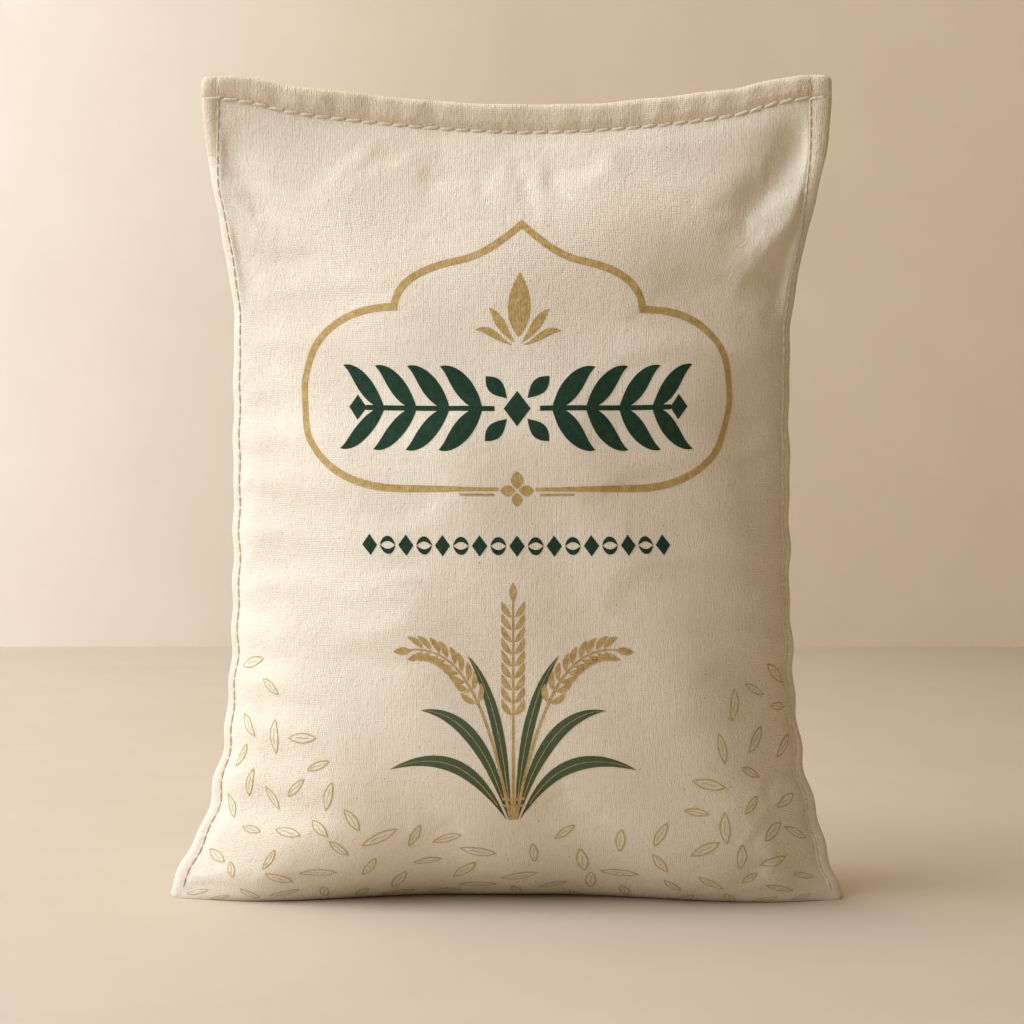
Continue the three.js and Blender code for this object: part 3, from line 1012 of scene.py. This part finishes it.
def both_sides(points):
    """A curve and its mirror image."""
    points = np.asarray(points, float)
    return points, points * [-1, 1]


def direction(degrees):
    return np.array([math.cos(math.radians(degrees)), math.sin(math.radians(degrees))])


# %% [markdown]
# ## The gold frame with its palmette and rosette
# The frame is a wide cartouche with round ends and a pointed arch on top. Its line is even at the sides
# and thins towards the rosette at the foot. The palmette is a bud between two pairs of leaves, and stands
# under the point.

# %% Sizes of the frame
PRINT_MIDDLE = 3.0  # across, where the print's own middle line lies
FRAME_FOOT = 225.6  # up, the lower line of the frame
FRAME_TALL = 86  # of the round ends
FRAME_HALF = 108.4
END_BOW = 52  # how far from the tip of a round end its bow starts
END_SQUARE = 2.3  # power of the bow, 2 for an ellipse
ARCH_TALL = 43.7  # of the arch above the round ends
ARCH_HALF = 61
ARCH_CURVE = ((0, 1), (0.22, 0.7), (0.32, 0.62), (0.47, 0.56))  # shares of its half width and its height
SHOULDER_CURVE = ((0.47, 0.56), (0.78, 0.46), (0.93, 0.3))
CUSP = (1.5, 7)  # inwards and up from the foot of the arch, where its line turns straight down
LINE = 3.4
THIN_LINE = 1.5
SHORT_LINE = 1.0
CURVE_STEP = 1.2


# %% Draw the frame
gold_front = Print("gold_frame", FRONT)


def joined(*lines):
    """Lines end to end, without the points that they share."""
    return np.concatenate([lines[0]] + [line[1:] for line in lines[1:]])


def frame_half():
    """The right half of the frame's line, from the point of the arch to the foot."""
    top = FRAME_FOOT + FRAME_TALL
    arch_size = np.array([ARCH_HALF, ARCH_TALL])
    arch = bezier(ARCH_CURVE * arch_size + [0, top], CURVE_STEP)
    cusp = [(ARCH_HALF - CUSP[0], top + CUSP[1]), (ARCH_HALF, top)]
    shoulder = bezier([*(SHOULDER_CURVE * arch_size + [0, top]), *cusp], CURVE_STEP)
    foot_of_arch = np.array([(ARCH_HALF, top - LINE / 2)])
    angle = np.linspace(np.pi / 2, -np.pi / 2, 110)
    cosine = np.abs(np.cos(angle)) ** (2 / END_SQUARE)
    sine = np.sign(np.sin(angle)) * np.abs(np.sin(angle)) ** (2 / END_SQUARE)
    bow = np.stack([FRAME_HALF - END_BOW + cosine * END_BOW, top - (1 - sine) * FRAME_TALL / 2], axis=1)
    bow = bow[(bow[:, 0] > ARCH_HALF - LINE / 2) | (sine < 0)]
    foot = bezier([bow[-1], (9, FRAME_FOOT)], CURVE_STEP)
    return np.concatenate([joined(arch, shoulder), foot_of_arch]), bow, foot


arch_line, end_line, foot_line = frame_half()
arch_line = np.concatenate([arch_line[::-1] * [-1, 1], arch_line[1:]])
gold_front.ribbon(arch_line + [PRINT_MIDDLE, 0], LINE)
for side in (LEFT, RIGHT):
    gold_front.ribbon(end_line * [side, 1] + [PRINT_MIDDLE, 0], LINE)
    thinning = np.linspace(LINE, THIN_LINE, len(foot_line))
    gold_front.ribbon(foot_line * [side, 1] + [PRINT_MIDDLE, 0], thinning)
    short_line = bezier([(11, FRAME_FOOT - 2.6), (28, FRAME_FOOT - 2.6)])
    gold_front.ribbon(short_line * [side, 1] + [PRINT_MIDDLE, 0], SHORT_LINE)

# %% Draw the rosette and the palmette
ROSETTE_BUD = 0.9  # how far from the rosette's middle its petals start
ROSETTE = np.array([PRINT_MIDDLE, FRAME_FOOT - 0.6])
for angle, length, widest in ((90, 8.2, 6.0), (270, 6.6, 5.0), (0, 7.2, 5.2), (180, 7.2, 5.2)):
    start = ROSETTE + direction(angle) * ROSETTE_BUD
    end = ROSETTE + direction(angle) * (ROSETTE_BUD + length)
    leaf(gold_front, [start, end], widest, blunt=0.8, step=0.6)

PALMETTE_FOOT = FRAME_FOOT + 69
# four points of the curve of each leaf of the palmette, and its width
PALMETTE = (
    ((1.5, 1), (7, 6), (9, 12), (14.5, 18), 4.6),
    ((2.5, 0), (10, 2), (14, 9), (21, 7), 3.6),
)
bud = [(PRINT_MIDDLE, PALMETTE_FOOT + 4), (PRINT_MIDDLE, PALMETTE_FOOT + 36)]
leaf(gold_front, bud, 11, peak=0.45, blunt=0.9, step=1.0)
for *points, widest in PALMETTE:
    for curve in both_sides(points):
        leaf(gold_front, curve + [PRINT_MIDDLE, PALMETTE_FOOT], widest, peak=0.6, blunt=0.8, step=0.8)

# %% [markdown]
# ## The green garland
# Inside the frame stands a broad green garland, and a small border of lozenges below it. Both are generic
# ornament: a lozenge flower in the middle, and pairs of thick leaves along a stem to both sides.

# %% Draw the green bands
GARLAND_ROW = FRAME_FOOT + 38.2
BORDER_ROW = FRAME_FOOT - 26.6
GARLAND_LEAF = ((0, 0), (8, 5), (12, 18), (21, 20))
green_front = Print("green_garland", FRONT)


def lozenge(ink, place, wide, tall):
    along = np.linspace(-1, 1, 9)
    spine = np.stack([np.zeros(9), along * tall / 2], axis=1)
    ink.ribbon(spine + place, wide * (1 - np.abs(along)))


lozenge(green_front, (PRINT_MIDDLE, GARLAND_ROW), 13, 17)
for angle in (45, 135, 225, 315):
    place = np.array([PRINT_MIDDLE, GARLAND_ROW]) + direction(angle) * 7
    leaf(green_front, [place, place + direction(angle) * 15], 7.5, peak=0.55, blunt=0.9)
for side in (LEFT, RIGHT):
    for number in range(4):
        root = np.array([PRINT_MIDDLE + side * (17 + 16.5 * number), GARLAND_ROW])
        for up_down in (1, -1):
            curve = GARLAND_LEAF * np.array([side, up_down]) + root
            leaf(green_front, curve, 9.4 - 0.5 * number, peak=0.45, blunt=0.85)
    stem = [(PRINT_MIDDLE + side * 11, GARLAND_ROW), (PRINT_MIDDLE + side * 76, GARLAND_ROW)]
    green_front.ribbon(bezier(stem), 2.4)
    lozenge(green_front, (PRINT_MIDDLE + side * 80, GARLAND_ROW), 9, 12)

for number in range(-4, 5):
    place = (PRINT_MIDDLE + number * 18, BORDER_ROW)
    lozenge(green_front, place, 7.5, 10)
    if number < 4:
        for up_down in (-1, 1):
            start = np.array([place[0] + 5.2, BORDER_ROW])
            curve = [start, start + [3.8, up_down * 6], start + [7.6, 0]]
            leaf(green_front, curve, 2.4, blunt=0.8, step=0.8)

# %% [markdown]
# ## The sheaf
# Lower down a sheaf is printed in both inks: bent blades in green, and ears of grain in gold. An ear is a
# bent stem with pairs of small grains that point along it. The sheaf is symmetrical and tied at its foot.

# %% Draw the sheaf
SHEAF_FOOT = np.array([PRINT_MIDDLE - 2, 70.0])
# four points of the curve of each blade, and its width
BLADES = (
    ((2, 0), (9, 30), (22, 52), (44, 52), 6.4),
    ((3, 0), (14, 22), (30, 36), (58, 24), 6.4),
    ((1, 0), (4, 30), (8, 60), (22, 78), 5.2),
)
# four points of the stem of each ear, and its pairs of grains
EARS = (
    ((0.0, 0), (0, 40), (0, 70), (0, 104), 9),
    ((1.2, 0), (10, 50), (24, 84), (50, 80), 9),
)
EAR_BARE = 0.46  # share of the stem that is bare
EAR_GRAINS = 0.52  # and over which the grains stand
GOLD_LIFT = INK_LIFT * 1.6  # where gold lies over other ink
gold_sheaf = Print("gold_ears", FRONT, GOLD_LIFT)
green_sheaf = Print("green_blades", FRONT)


def ear(points, pairs):
    spine = bezier(points, CURVE_STEP)
    gold_sheaf.ribbon(spine, np.linspace(1.5, 0.7, len(spine)))
    for number in range(pairs):
        place = int((EAR_BARE + EAR_GRAINS * number / pairs) * (len(spine) - 1))
        along = spine[min(place + 1, len(spine) - 1)] - spine[place - 1]
        along /= np.linalg.norm(along)
        beside = np.array([-along[1], along[0]])
        for way in (-1, 1):
            start = spine[place] + beside * way * 0.7
            tip = start + along * 7.4 + beside * way * 4.6
            bulge = start + along * 2.6 + beside * way * 3.6
            leaf(gold_sheaf, [start, bulge, tip], 2.7, blunt=0.8, step=0.9)
    end = spine[-1]
    along = (spine[-1] - spine[-3]) / np.linalg.norm(spine[-1] - spine[-3])
    leaf(gold_sheaf, [end - along, end + along * 8], 3.4, blunt=0.8, step=0.9)


for *points, widest in BLADES:
    for curve in both_sides(points):
        leaf(green_sheaf, curve + SHEAF_FOOT, widest, peak=0.55, blunt=0.85)
        midrib = bezier(curve + SHEAF_FOOT)
        midrib = midrib[len(midrib) // 8 :]
        gold_sheaf.ribbon(midrib, np.linspace(0.4, 0.2, len(midrib)))
for *points, pairs in EARS:
    for curve in both_sides(points)[: 2 if points[0][0] else 1]:
        ear(curve + SHEAF_FOOT, pairs)
for way in (-1, 1):
    tie = np.array([(-5, 9), (0, 8), (5, 9)]) + [0, way * 1.6] + SHEAF_FOOT
    gold_sheaf.ribbon(bezier(tie, 1.0), 1.3)

# %% [markdown]
# ## Scattered grains
# Round the foot of the bag and up both sides lie outlined grains of rice, a common filling pattern. A
# seeded draw proposes places, and a place is kept only if it lies in the band and far enough from the
# grains already there. Each grain is a pale lens with a gold outline and a short line along its middle.

# %% Scatter the grains
GRAIN_LONG = 13.6
GRAIN_WIDE = 4.0
GRAIN_LINE = 0.56
GRAIN_SPACE = 14.8
BAND_MIDDLE = 62  # how far up the band reaches in the middle
BAND_SIDE = 150  # and at the seams
BAND_RISES = (0.36, 0.94)  # shares of the half panel between which the band rises
GRAIN_MARGIN = 9  # kept free at the floor and the seams
GRAIN_TRIES = 6000
GRAIN_SIZES = 0.17  # how much larger or smaller a grain may be
SHEAF_CLEAR = 14  # to both sides of the sheaf no grain lies
SHEAF_LOW = 56  # above this height


def scatter(seed, sheaf_gap):
    draw = np.random.default_rng(seed)
    kept = []
    for _ in range(GRAIN_TRIES):
        across = draw.uniform(-PANEL_HALF + GRAIN_MARGIN, PANEL_HALF - GRAIN_MARGIN)
        up = draw.uniform(GRAIN_MARGIN, BAND_SIDE)
        angle = draw.uniform(0, np.pi)
        limit = mix(BAND_MIDDLE, BAND_SIDE, smooth(abs(across) / PANEL_HALF, *BAND_RISES))
        near = any(math.hypot(across - x, up - y) < GRAIN_SPACE for x, y, _ in kept)
        in_sheaf = abs(across - SHEAF_FOOT[0]) < sheaf_gap and up > SHEAF_LOW
        if up < limit and not near and not in_sheaf:
            kept.append((across, up, angle))
    return kept


def draw_grain(outline, fill, across, up, angle):
    """One grain. Its angle also decides its size, so that no two neighbours are quite alike."""
    turn = np.array([[math.cos(angle), math.sin(angle)], [-math.sin(angle), math.cos(angle)]])
    size = 1 + GRAIN_SIZES * math.sin(7 * angle + across)
    t = np.linspace(0, 1, 11)
    half = size * GRAIN_WIDE / 2 * np.sin(np.pi * t) ** 0.8
    x = size * GRAIN_LONG * (t - 0.5)
    edge = np.concatenate([np.stack([x, half], 1), np.stack([x, -half], 1)[-2:0:-1]])
    outline.ribbon(edge @ turn + [across, up], GRAIN_LINE, closed=True)
    crease = np.array([[-0.28, 0], [-0.1, 0.02], [0.1, -0.02], [0.28, 0]]) * GRAIN_LONG
    outline.ribbon(crease @ turn + [across, up], GRAIN_LINE * 0.6)
    spine = np.stack([x, np.zeros_like(x)], 1)
    fill.ribbon(spine @ turn + [across, up], 2 * half)


prints = [
    (gold_front, "ink_gold"),
    (green_front, "ink_green"),
    (gold_sheaf, "ink_gold"),
    (green_sheaf, "ink_green"),
]
for face, face_name, seed in ((FRONT, "front", 5), (BACK, "back", 6)):
    outline = Print(f"grain_lines_{face_name}", face, GOLD_LIFT)
    fill = Print(f"grain_fills_{face_name}", face)
    grains = scatter(seed, SHEAF_CLEAR if face == FRONT else 0)
    for grain in grains:
        draw_grain(outline, fill, *grain)
    prints += [(outline, "ink_gold"), (fill, "ink_gold")]
    print(f"{face_name}: {len(grains)} grains")

print_pieces = {ink.name: ink.lay(slot) for ink, slot in prints}
print("print:", {name: len(piece.data.polygons) for name, piece in print_pieces.items()})

# %% [markdown]
# ## Canvas
# The cloth is undyed cotton canvas: a matt, warm white plain weave with a slightly fuzzy surface, where
# thicker yarns run up and down as faint ribs. A picture of cloth could be wrapped round the bag, but it
# would have one fixed sharpness and would repeat. Here waves and noises, measured in metres on the flat
# panels, build the height of the weave, and the same height tints the colour a little: the pits between
# yarns are painted darker as shade, and thicker yarns and slubs vary the colour.

# %% Node helpers
def set_inputs(tree, node, inputs):
    """Link the values that come from other nodes, and set the plain ones."""
    for key, value in inputs.items():
        if isinstance(value, bpy.types.NodeSocket):
            tree.links.new(value, node.inputs[key])
        else:
            node.inputs[key].default_value = value


def add_node(tree, kind, inputs=None, **settings):
    node = tree.nodes.new(kind)
    for key, value in settings.items():
        setattr(node, key, value)
    set_inputs(tree, node, inputs or {})
    return node


def math_node(tree, operation, first, second):
    return add_node(tree, "ShaderNodeMath", {0: first, 1: second}, operation=operation).outputs[0]


def new_material(name):
    material = bpy.data.materials.new(name)
    material.use_nodes = True
    tree = material.node_tree
    return material, tree, tree.nodes["Principled BSDF"]


def bump(tree, height, strength, distance, under=None):
    """A relief on top of the one under it. Its full height is a distance in metres."""
    inputs = {"Height": height, "Strength": strength, "Distance": distance}
    if under is not None:
        inputs["Normal"] = under
    return add_node(tree, "ShaderNodeBump", inputs).outputs[0]


def scaled(tree, vector, scale):
    return add_node(tree, "ShaderNodeMapping", {"Vector": vector, "Scale": scale}).outputs[0]


def noise(tree, vector, scale, detail=2.0, rough=0.5):
    inputs = {"Vector": vector, "Scale": scale, "Detail": detail, "Roughness": rough}
    return add_node(tree, "ShaderNodeTexNoise", inputs).outputs["Fac"]


def ramp(tree, value, stops):
    node = add_node(tree, "ShaderNodeValToRGB", {"Fac": value})
    elements = node.color_ramp.elements
    while len(elements) < len(stops):
        elements.new(0.5)
    for element, (place, colour) in zip(elements, stops):
        element.position = place
        element.color = (*colour, 1)
    return node.outputs["Color"]


def blend_colour(tree, kind, share, first, second):
    inputs = {0: share, 6: first, 7: second}
    return add_node(tree, "ShaderNodeMix", inputs, data_type="RGBA", blend_type=kind).outputs[2]


# %% Plain weave shared by cloth and ink
YARN = 0.86 * MM  # from one yarn to the next, both ways
YARN_WANDER = 0.25  # how far yarns wander, as a share of their pitch
SLUB_LONG = 16 * MM
CREPE_RATES = (620, 330, 1)  # crinkles a metre, across and up
CREPE_HIGH = 0.6 * MM


def sine_of(tree, flat, axis, wander):
    place = add_node(tree, "ShaderNodeSeparateXYZ", {0: flat}).outputs[axis]
    turned = math_node(tree, "MULTIPLY", place, math.pi / YARN)
    drift = math_node(tree, "MULTIPLY", wander, YARN_WANDER * math.pi)
    return math_node(tree, "SINE", math_node(tree, "ADD", turned, drift), 0.0)


def plain_weave(tree):
    """The flat place in metres and the height of the weave there, as about 0.9 to 1.7."""
    place = add_node(tree, "ShaderNodeUVMap", uv_map="OFBake").outputs[0]
    flat = scaled(tree, place, (SHEET * MM, SHEET * MM, 1))
    wander = noise(tree, flat, 0.22 / YARN, 2.0)
    upright = sine_of(tree, flat, "X", math_node(tree, "MULTIPLY", wander, 3.0))
    level = sine_of(tree, flat, "Y", math_node(tree, "MULTIPLY", wander, 2.0))
    over = math_node(tree, "MULTIPLY", math_node(tree, "MULTIPLY", upright, level), 0.8)
    on_top = math_node(tree, "ADD", over, 0.55)
    below = math_node(tree, "SUBTRACT", 0.45, over)
    warp = math_node(tree, "MULTIPLY", math_node(tree, "ABSOLUTE", upright, 0.0), on_top)
    weft = math_node(tree, "MULTIPLY", math_node(tree, "ABSOLUTE", level, 0.0), below)
    crossing = math_node(tree, "MAXIMUM", warp, weft)
    slub_up = noise(tree, scaled(tree, flat, (0.8 / YARN, 1 / SLUB_LONG, 1)), 1.0, 2.0, 0.65)
    slub_across = noise(tree, scaled(tree, flat, (1 / SLUB_LONG, 0.8 / YARN, 1)), 1.0, 2.0, 0.65)
    fuzz = noise(tree, flat, 0.55 / YARN, 5.0, 0.75)
    height = math_node(tree, "MULTIPLY", crossing, 0.55)
    for part, amount in ((slub_up, 0.85), (slub_across, 0.45), (fuzz, 0.9)):
        height = math_node(tree, "ADD", height, math_node(tree, "MULTIPLY", part, amount))
    return flat, height


def crepe_bump(tree, flat, strength, under=None):
    """The crinkle of cotton that was washed, a millimetre or two wide."""
    crepe = noise(tree, scaled(tree, flat, CREPE_RATES), 1.0, 3.0, 0.6)
    return bump(tree, crepe, strength, CREPE_HIGH, under)


# %% Canvas finish
def canvas(name, shade, crinkle):
    """Canvas whose colour is multiplied by a shade; where the shade is below one it is painted shade."""
    material, tree, shader = new_material(name)
    flat, height = plain_weave(tree)
    # the weave's height sets the colour: pits painted darker as shade, yarn tops and slubs lighter
    tint = ramp(tree, height, ((0.9, (0.70, 0.592, 0.47)), (1.65, (0.88, 0.768, 0.63))))
    cloudy = ramp(tree, noise(tree, flat, 14, 3.0), ((0.3, (0.94, 0.925, 0.90)), (0.7, (1.0, 1.0, 1.0))))
    colour = blend_colour(tree, "MULTIPLY", 1.0, tint, cloudy)
    # a shade below one paints shade over the whole finish
    colour = blend_colour(tree, "MULTIPLY", 1.0, colour, (*shade, 1))
    speck = noise(tree, scaled(tree, flat, (900, 600, 1)), 1.0, 0.0)
    speck_colour = ramp(tree, speck, ((0.15, (0.55, 0.44, 0.31)), (0.21, (1.0, 1.0, 1.0))))
    colour = blend_colour(tree, "MULTIPLY", 0.7, colour, speck_colour)
    rumple = noise(tree, flat, 130, 3.0, 0.55)
    rumple_bump = bump(tree, rumple, 0.5, 1.2 * MM)
    crinkled = crepe_bump(tree, flat, crinkle, rumple_bump)
    set_inputs(tree, shader, {
        "Base Color": colour,
        "Normal": bump(tree, height, 0.85, 0.32 * MM, crinkled),
        "Roughness": 0.95,
        "Specular IOR Level": 0.2,
        "Sheen Weight": 0.1,
        "Sheen Roughness": 0.5,
    })
    return material


# %% [markdown]
# ## Ink and thread
# Ink sinks into canvas, so it is as matt as the cloth and keeps its relief. It covers the tops of the yarns
# best and breaks up a little in the pits, where the cloth shows through as paler flecks. The thread
# is twisted cotton, a shade warmer than the cloth, and darker where its plies meet. The side thread is
# a darker tan, partly its own colour and partly painted shade of the seam's groove.

# %% Ink finishes
WORN_SOFT = 0.12  # how softly the ink breaks off
WORN_SHARE = 0.6  # how much of the cloth shows there


def ink_finish(name, deep, pale, fleck, worn):
    """Ink between a deep and a pale tone. Worn is the height of the weave below which the cloth shows."""
    material, tree, shader = new_material(name)
    flat, height = plain_weave(tree)
    uneven = noise(tree, flat, 260, 5.0, 0.75)
    tint = ramp(tree, uneven, ((0.34, deep), (0.66, pale)))
    missed = ramp(tree, height, ((worn - WORN_SOFT, (1, 1, 1)), (worn + WORN_SOFT, (0, 0, 0))))
    share = math_node(tree, "MULTIPLY", missed, WORN_SHARE)
    colour = blend_colour(tree, "MIX", share, tint, (*fleck, 1))
    set_inputs(tree, shader, {
        "Base Color": colour,
        "Normal": bump(tree, height, 0.7, 0.28 * MM, crepe_bump(tree, flat, 0.6)),
        "Roughness": 0.9,
        "Specular IOR Level": 0.2,
    })
    return material


def thread_finish(name, deep, pale):
    material, tree, shader = new_material(name)
    place = add_node(tree, "ShaderNodeTexCoord").outputs["Object"]
    tint = ramp(tree, noise(tree, place, 900, 2.0), ((0.3, deep), (0.7, pale)))
    fibre = noise(tree, scaled(tree, place, (1, 1, 3)), 2600, 2.0)
    set_inputs(tree, shader, {
        "Base Color": tint,
        "Normal": bump(tree, fibre, 0.5, 0.2 * MM),
        "Roughness": 0.85,
        "Specular IOR Level": 0.25,
        "Sheen Weight": 0.1,
    })
    return material


# %% Finish every piece
gold_ink = ink_finish("gold_ink", (0.40, 0.25, 0.08), (0.62, 0.44, 0.19), (0.68, 0.55, 0.33), 1.1)
green_ink = ink_finish("green_ink", (0.011, 0.034, 0.018), (0.022, 0.058, 0.030), (0.09, 0.13, 0.08), 1.08)
blade_ink = ink_finish("blade_ink", (0.010, 0.030, 0.016), (0.036, 0.068, 0.033), (0.12, 0.15, 0.08), 1.12)
line_ink = ink_finish("line_ink", (0.52, 0.35, 0.12), (0.66, 0.48, 0.21), (0.72, 0.57, 0.34), 1.1)
pale_ink = ink_finish("pale_ink", (0.76, 0.68, 0.54), (0.85, 0.77, 0.63), (0.80, 0.73, 0.62), 1.1)
hem_thread = thread_finish("hem_thread", (0.62, 0.52, 0.37), (0.82, 0.74, 0.59))
# the side thread's darker tan is partly its own colour and partly painted shade of the seam groove
side_thread = thread_finish("side_thread", (0.54, 0.44, 0.31), (0.74, 0.64, 0.49))
bag.data.materials.append(canvas("canvas", (1.0, 1.0, 1.0), 0.6))
# the doubled hem and tabs get a darker, warmer copy of the canvas: painted shade
bag.data.materials.append(canvas("doubled_canvas_painted_shade", (0.91, 0.86, 0.80), 1.0))
for piece in stitches:
    piece.data.materials.append(hem_thread if piece.name.startswith("hem") else side_thread)
ink_of = {
    "gold_frame": gold_ink,
    "gold_ears": gold_ink,
    "green_garland": green_ink,
    "green_blades": blade_ink,
    "grain_lines_front": line_ink,
    "grain_lines_back": line_ink,
    "grain_fills_front": pale_ink,
    "grain_fills_back": pale_ink,
}
for name, piece in print_pieces.items():
    piece.data.materials.append(ink_of[name])
print("finishes:", sorted(m.name for m in bpy.data.materials))

# %% [markdown]
# ## Floor, wall and light
# A pale floor meets a plain wall behind the bag. Both are painted lighter on the left and darker on the
# right, as painted light and shade that follows the window. A wide soft light stands to the left, as a
# window would, so the left side is bright and the right side falls into a warm shade. A small one above
# brightens the shoulders, and a weak one in front, with the room's own glow, fills the shade as pale walls
# around would.

# %% Stage
WALL_AWAY = 1.43
WALL_TALL = 5
STAGE_HALF = 6.0
PAINTED_LIGHT_HALF = 0.55  # m to both sides of the bag over which the painted light and shade run
# painted light and shade: each runs from a lit left over the middle to a shaded right
FLOOR_PAINTED_LIGHT_TONES = ((0.60, 0.515, 0.43), (0.55, 0.46, 0.365), (0.455, 0.375, 0.285))
WALL_PAINTED_LIGHT_TONES = ((0.87, 0.78, 0.68), (0.66, 0.535, 0.415), (0.68, 0.54, 0.40))


def stage_plane(name, near, far, tones):
    """A plane between two edges, each given as its y and z. Its colour runs from left over middle to right,
    with painted light on the left and painted shade on the right.
    """
    mesh = bpy.data.meshes.new(name)
    corners = [(-STAGE_HALF, *near), (STAGE_HALF, *near), (STAGE_HALF, *far), (-STAGE_HALF, *far)]
    mesh.from_pydata(corners, [], [(0, 1, 2, 3)])
    plane = bpy.data.objects.new(name, mesh)
    bpy.context.scene.collection.objects.link(plane)
    material, tree, shader = new_material(name)
    place = add_node(tree, "ShaderNodeTexCoord").outputs["Object"]
    across = add_node(tree, "ShaderNodeSeparateXYZ", {0: place}).outputs["X"]
    run = add_node(tree, "ShaderNodeMapRange", {0: across, 1: -PAINTED_LIGHT_HALF, 2: PAINTED_LIGHT_HALF}).outputs[0]
    # painted light and shade across the plane, from left to right
    tone = ramp(tree, run, list(zip((0.0, 0.5, 1.0), tones)))
    cloudy = ramp(tree, noise(tree, place, 7, 5.0, 0.6), ((0.3, (0.95, 0.94, 0.93)), (0.7, (1.0, 1.0, 1.0))))
    colour = blend_colour(tree, "MULTIPLY", 1.0, tone, cloudy)
    set_inputs(tree, shader, {"Base Color": colour, "Roughness": 0.9, "Specular IOR Level": 0.2})
    mesh.materials.append(material)


stage_plane("floor", (-STAGE_HALF, 0), (WALL_AWAY, 0), FLOOR_PAINTED_LIGHT_TONES)
stage_plane("wall", (WALL_AWAY, 0), (WALL_AWAY, WALL_TALL), WALL_PAINTED_LIGHT_TONES)
print(f"the wall stands {WALL_AWAY} m behind the bag")


# %% Light
def area_light(name, away, azimuth, elevation, size, power, colour):
    """A soft light that looks at the middle of the bag. Azimuth runs from straight in front to the left."""
    data = bpy.data.lights.new(name, "AREA")
    data.shape = "SQUARE"
    data.size = size
    data.energy = power
    data.color = colour
    light = bpy.data.objects.new(name, data)
    turn, up = math.radians(azimuth), math.radians(elevation)
    way = np.array([-math.sin(turn) * math.cos(up), -math.cos(turn) * math.cos(up), math.sin(up)])
    target = np.array([0, 0, BAG_HEIGHT * MM / 2])
    light.location = target + way * away
    light.rotation_euler = Vector(way).to_track_quat("Z", "Y").to_euler()
    bpy.context.scene.collection.objects.link(light)


area_light("window", 4.0, 74, 36, 3.2, 218, (0.74, 0.87, 1.0))
area_light("skylight", 2.6, 110, 72, 1.5, 31, (1.0, 0.90, 0.75))
area_light("room_front", 3.5, 26, 20, 2.0, 24, (0.85, 0.90, 0.95))
world = bpy.data.worlds.new("room")
world.use_nodes = True
glow = {"Color": (1.0, 0.68, 0.28, 1), "Strength": 0.195}
set_inputs(world.node_tree, world.node_tree.nodes["Background"], glow)
bpy.context.scene.world = world
bpy.context.scene.view_settings.view_transform = "Standard"
print("lights:", [light.name for light in bpy.data.lights])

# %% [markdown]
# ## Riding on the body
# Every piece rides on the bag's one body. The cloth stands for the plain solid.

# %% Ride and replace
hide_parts("bag")
for piece in [bag, *stitches, *print_pieces.values()]:
    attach(piece, "root")
